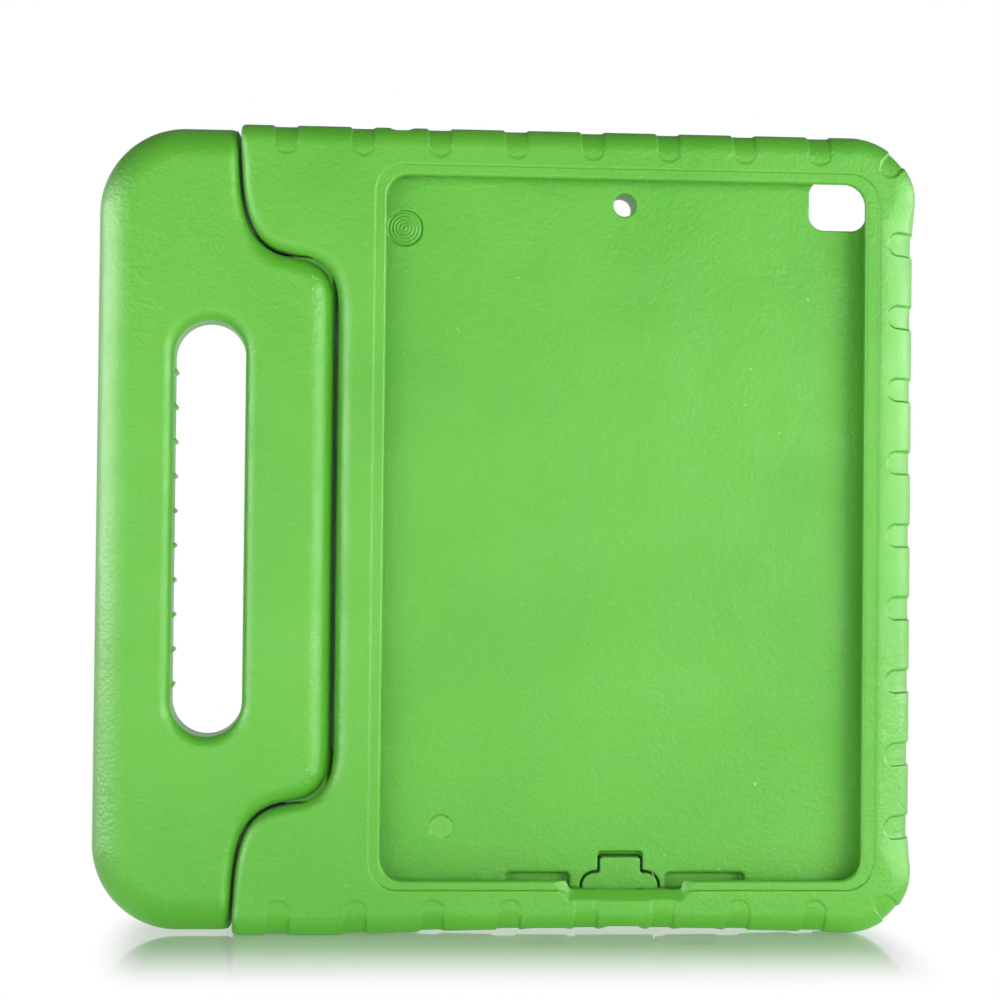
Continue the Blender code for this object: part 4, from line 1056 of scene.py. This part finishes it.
def stage_sheet(name, z, share, mat):
    """A level square sheet of the studio."""
    bm = bmesh.new()
    bmesh.ops.create_grid(bm, x_segments=1, y_segments=1, size=FLOOR_SIZE)
    mesh = bpy.data.meshes.new(name)
    bm.to_mesh(mesh)
    bm.free()
    sheet = bpy.data.objects.new(name, mesh)
    bpy.context.scene.collection.objects.link(sheet)
    sheet.location.z = z
    sheet.scale = (share, share, 1.0)
    mesh.materials.append(mat)
    sheet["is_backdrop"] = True


def studio_world():
    """A dim world that the camera, reflections and glass see as plain white."""
    world = bpy.data.worlds.new("studio")
    bpy.context.scene.world = world
    world.use_nodes = True
    tree = world.node_tree
    back = tree.nodes["Background"]
    back.inputs["Color"].default_value = (1.0, 1.0, 1.0, 1.0)
    path = tree.nodes.new("ShaderNodeLightPath")
    seen = path.outputs["Is Camera Ray"]
    for ray in ("Is Glossy Ray", "Is Transmission Ray"):
        either = tree.nodes.new("ShaderNodeMath")
        either.operation = "MAXIMUM"
        tree.links.new(seen, either.inputs[0])
        tree.links.new(path.outputs[ray], either.inputs[1])
        seen = either.outputs[0]
    strength = tree.nodes.new("ShaderNodeMapRange")
    strength.inputs["To Min"].default_value = AMBIENT
    strength.inputs["To Max"].default_value = 1.0
    tree.links.new(seen, strength.inputs["Value"])
    tree.links.new(strength.outputs[0], back.inputs["Strength"])


def area_light(name, place, size, power):
    """A soft box that faces the object's middle."""
    data = bpy.data.lights.new(name, "AREA")
    data.shape = "RECTANGLE"
    data.size, data.size_y = size
    data.energy = power
    lamp = bpy.data.objects.new(name, data)
    bpy.context.scene.collection.objects.link(lamp)
    lamp.location = place
    middle = Vector((0.0, 0.0, MID_Z * MM))
    lamp.rotation_euler = (middle - Vector(place)).to_track_quat("-Z", "Y").to_euler()
    return lamp


def studio():
    """A pale floor, a white world, soft boxes at both sides and a dark flag that shades them from above."""
    stage_sheet("studio_floor", FLOOR_Z, 1.0, floor_material())
    stage_sheet("studio_flag", FLAG_Z, FLAG_SHARE, flag_material())
    studio_world()
    for box in SOFT_BOXES:
        area_light(*box)
    area_light(*FRONT_BOX).visible_glossy = False
    for gleam in GLEAMS:
        area_light(*gleam).visible_diffuse = False


# The camera, from the photograph's perspective: it stands a little to the left and just under the middle
CAMERA_AZIMUTH = math.radians(4.43)
CAMERA_ELEVATION = math.radians(-1.08)
CAMERA_ROLL = math.radians(0.60)
CAMERA_DISTANCE = 900.0
CAMERA_TARGET = Vector((-2.86, 0.0, 151.6))
FOCAL_PIXELS = 2555.5
IMAGE_PIXELS = 1000.0
SENSOR = 36.0


def camera():
    """The camera, set up from its angles, distance and target."""
    ca, sa = math.cos(CAMERA_AZIMUTH), math.sin(CAMERA_AZIMUTH)
    ce, se = math.cos(CAMERA_ELEVATION), math.sin(CAMERA_ELEVATION)
    ahead = Vector((sa * ce, ca * ce, -se))
    right = Vector((ca, -sa, 0.0))
    up = right.cross(ahead)
    cr, sr = math.cos(CAMERA_ROLL), math.sin(CAMERA_ROLL)
    turned_right = right * cr + up * sr
    turned_up = up * cr - right * sr
    data = bpy.data.cameras.new("camera")
    data.sensor_width = SENSOR
    data.lens = SENSOR * FOCAL_PIXELS / IMAGE_PIXELS
    data.clip_start = 0.01
    item = bpy.data.objects.new("camera", data)
    bpy.context.scene.collection.objects.link(item)
    basis = Matrix((turned_right, turned_up, -ahead)).transposed().to_4x4()
    basis.translation = (CAMERA_TARGET - ahead * CAMERA_DISTANCE) * MM
    item.matrix_world = basis
    bpy.context.scene.camera = item


# The scene

def main():
    camera()
    studio()
    bpy.context.scene.view_settings.view_transform = "Standard"

    body_foam = foam_material("body_foam", 0.0, SCUFFS, True)
    handle_foam = foam_material("handle_foam", -0.03)
    flap_foam = foam_material("flap_foam", 0.02)
    plastic = pin_material()

    pieces = (
        (build_body(), "case", "case_body", "green_foam", body_foam),
        (build_handle(), "handle", "carry_handle", "green_foam_handle", handle_foam),
        (build_flap(), "flap", "port_cover_flap", "green_foam_flap", flap_foam),
    )
    for piece, body, node, slot, mat in pieces:
        piece.data.materials.append(mat)
        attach(piece, body)
        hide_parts(node)
    for name in ("upper_hinge_pin", "lower_hinge_pin"):
        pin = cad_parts[name]
        pin.data.materials.clear()
        pin.data.materials.append(plastic)

    sizes = {"cad": cad_bounds, "visual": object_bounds()}
    {key: [list(map(float, c)) for c in value] for key, value in sizes.items()}


main()
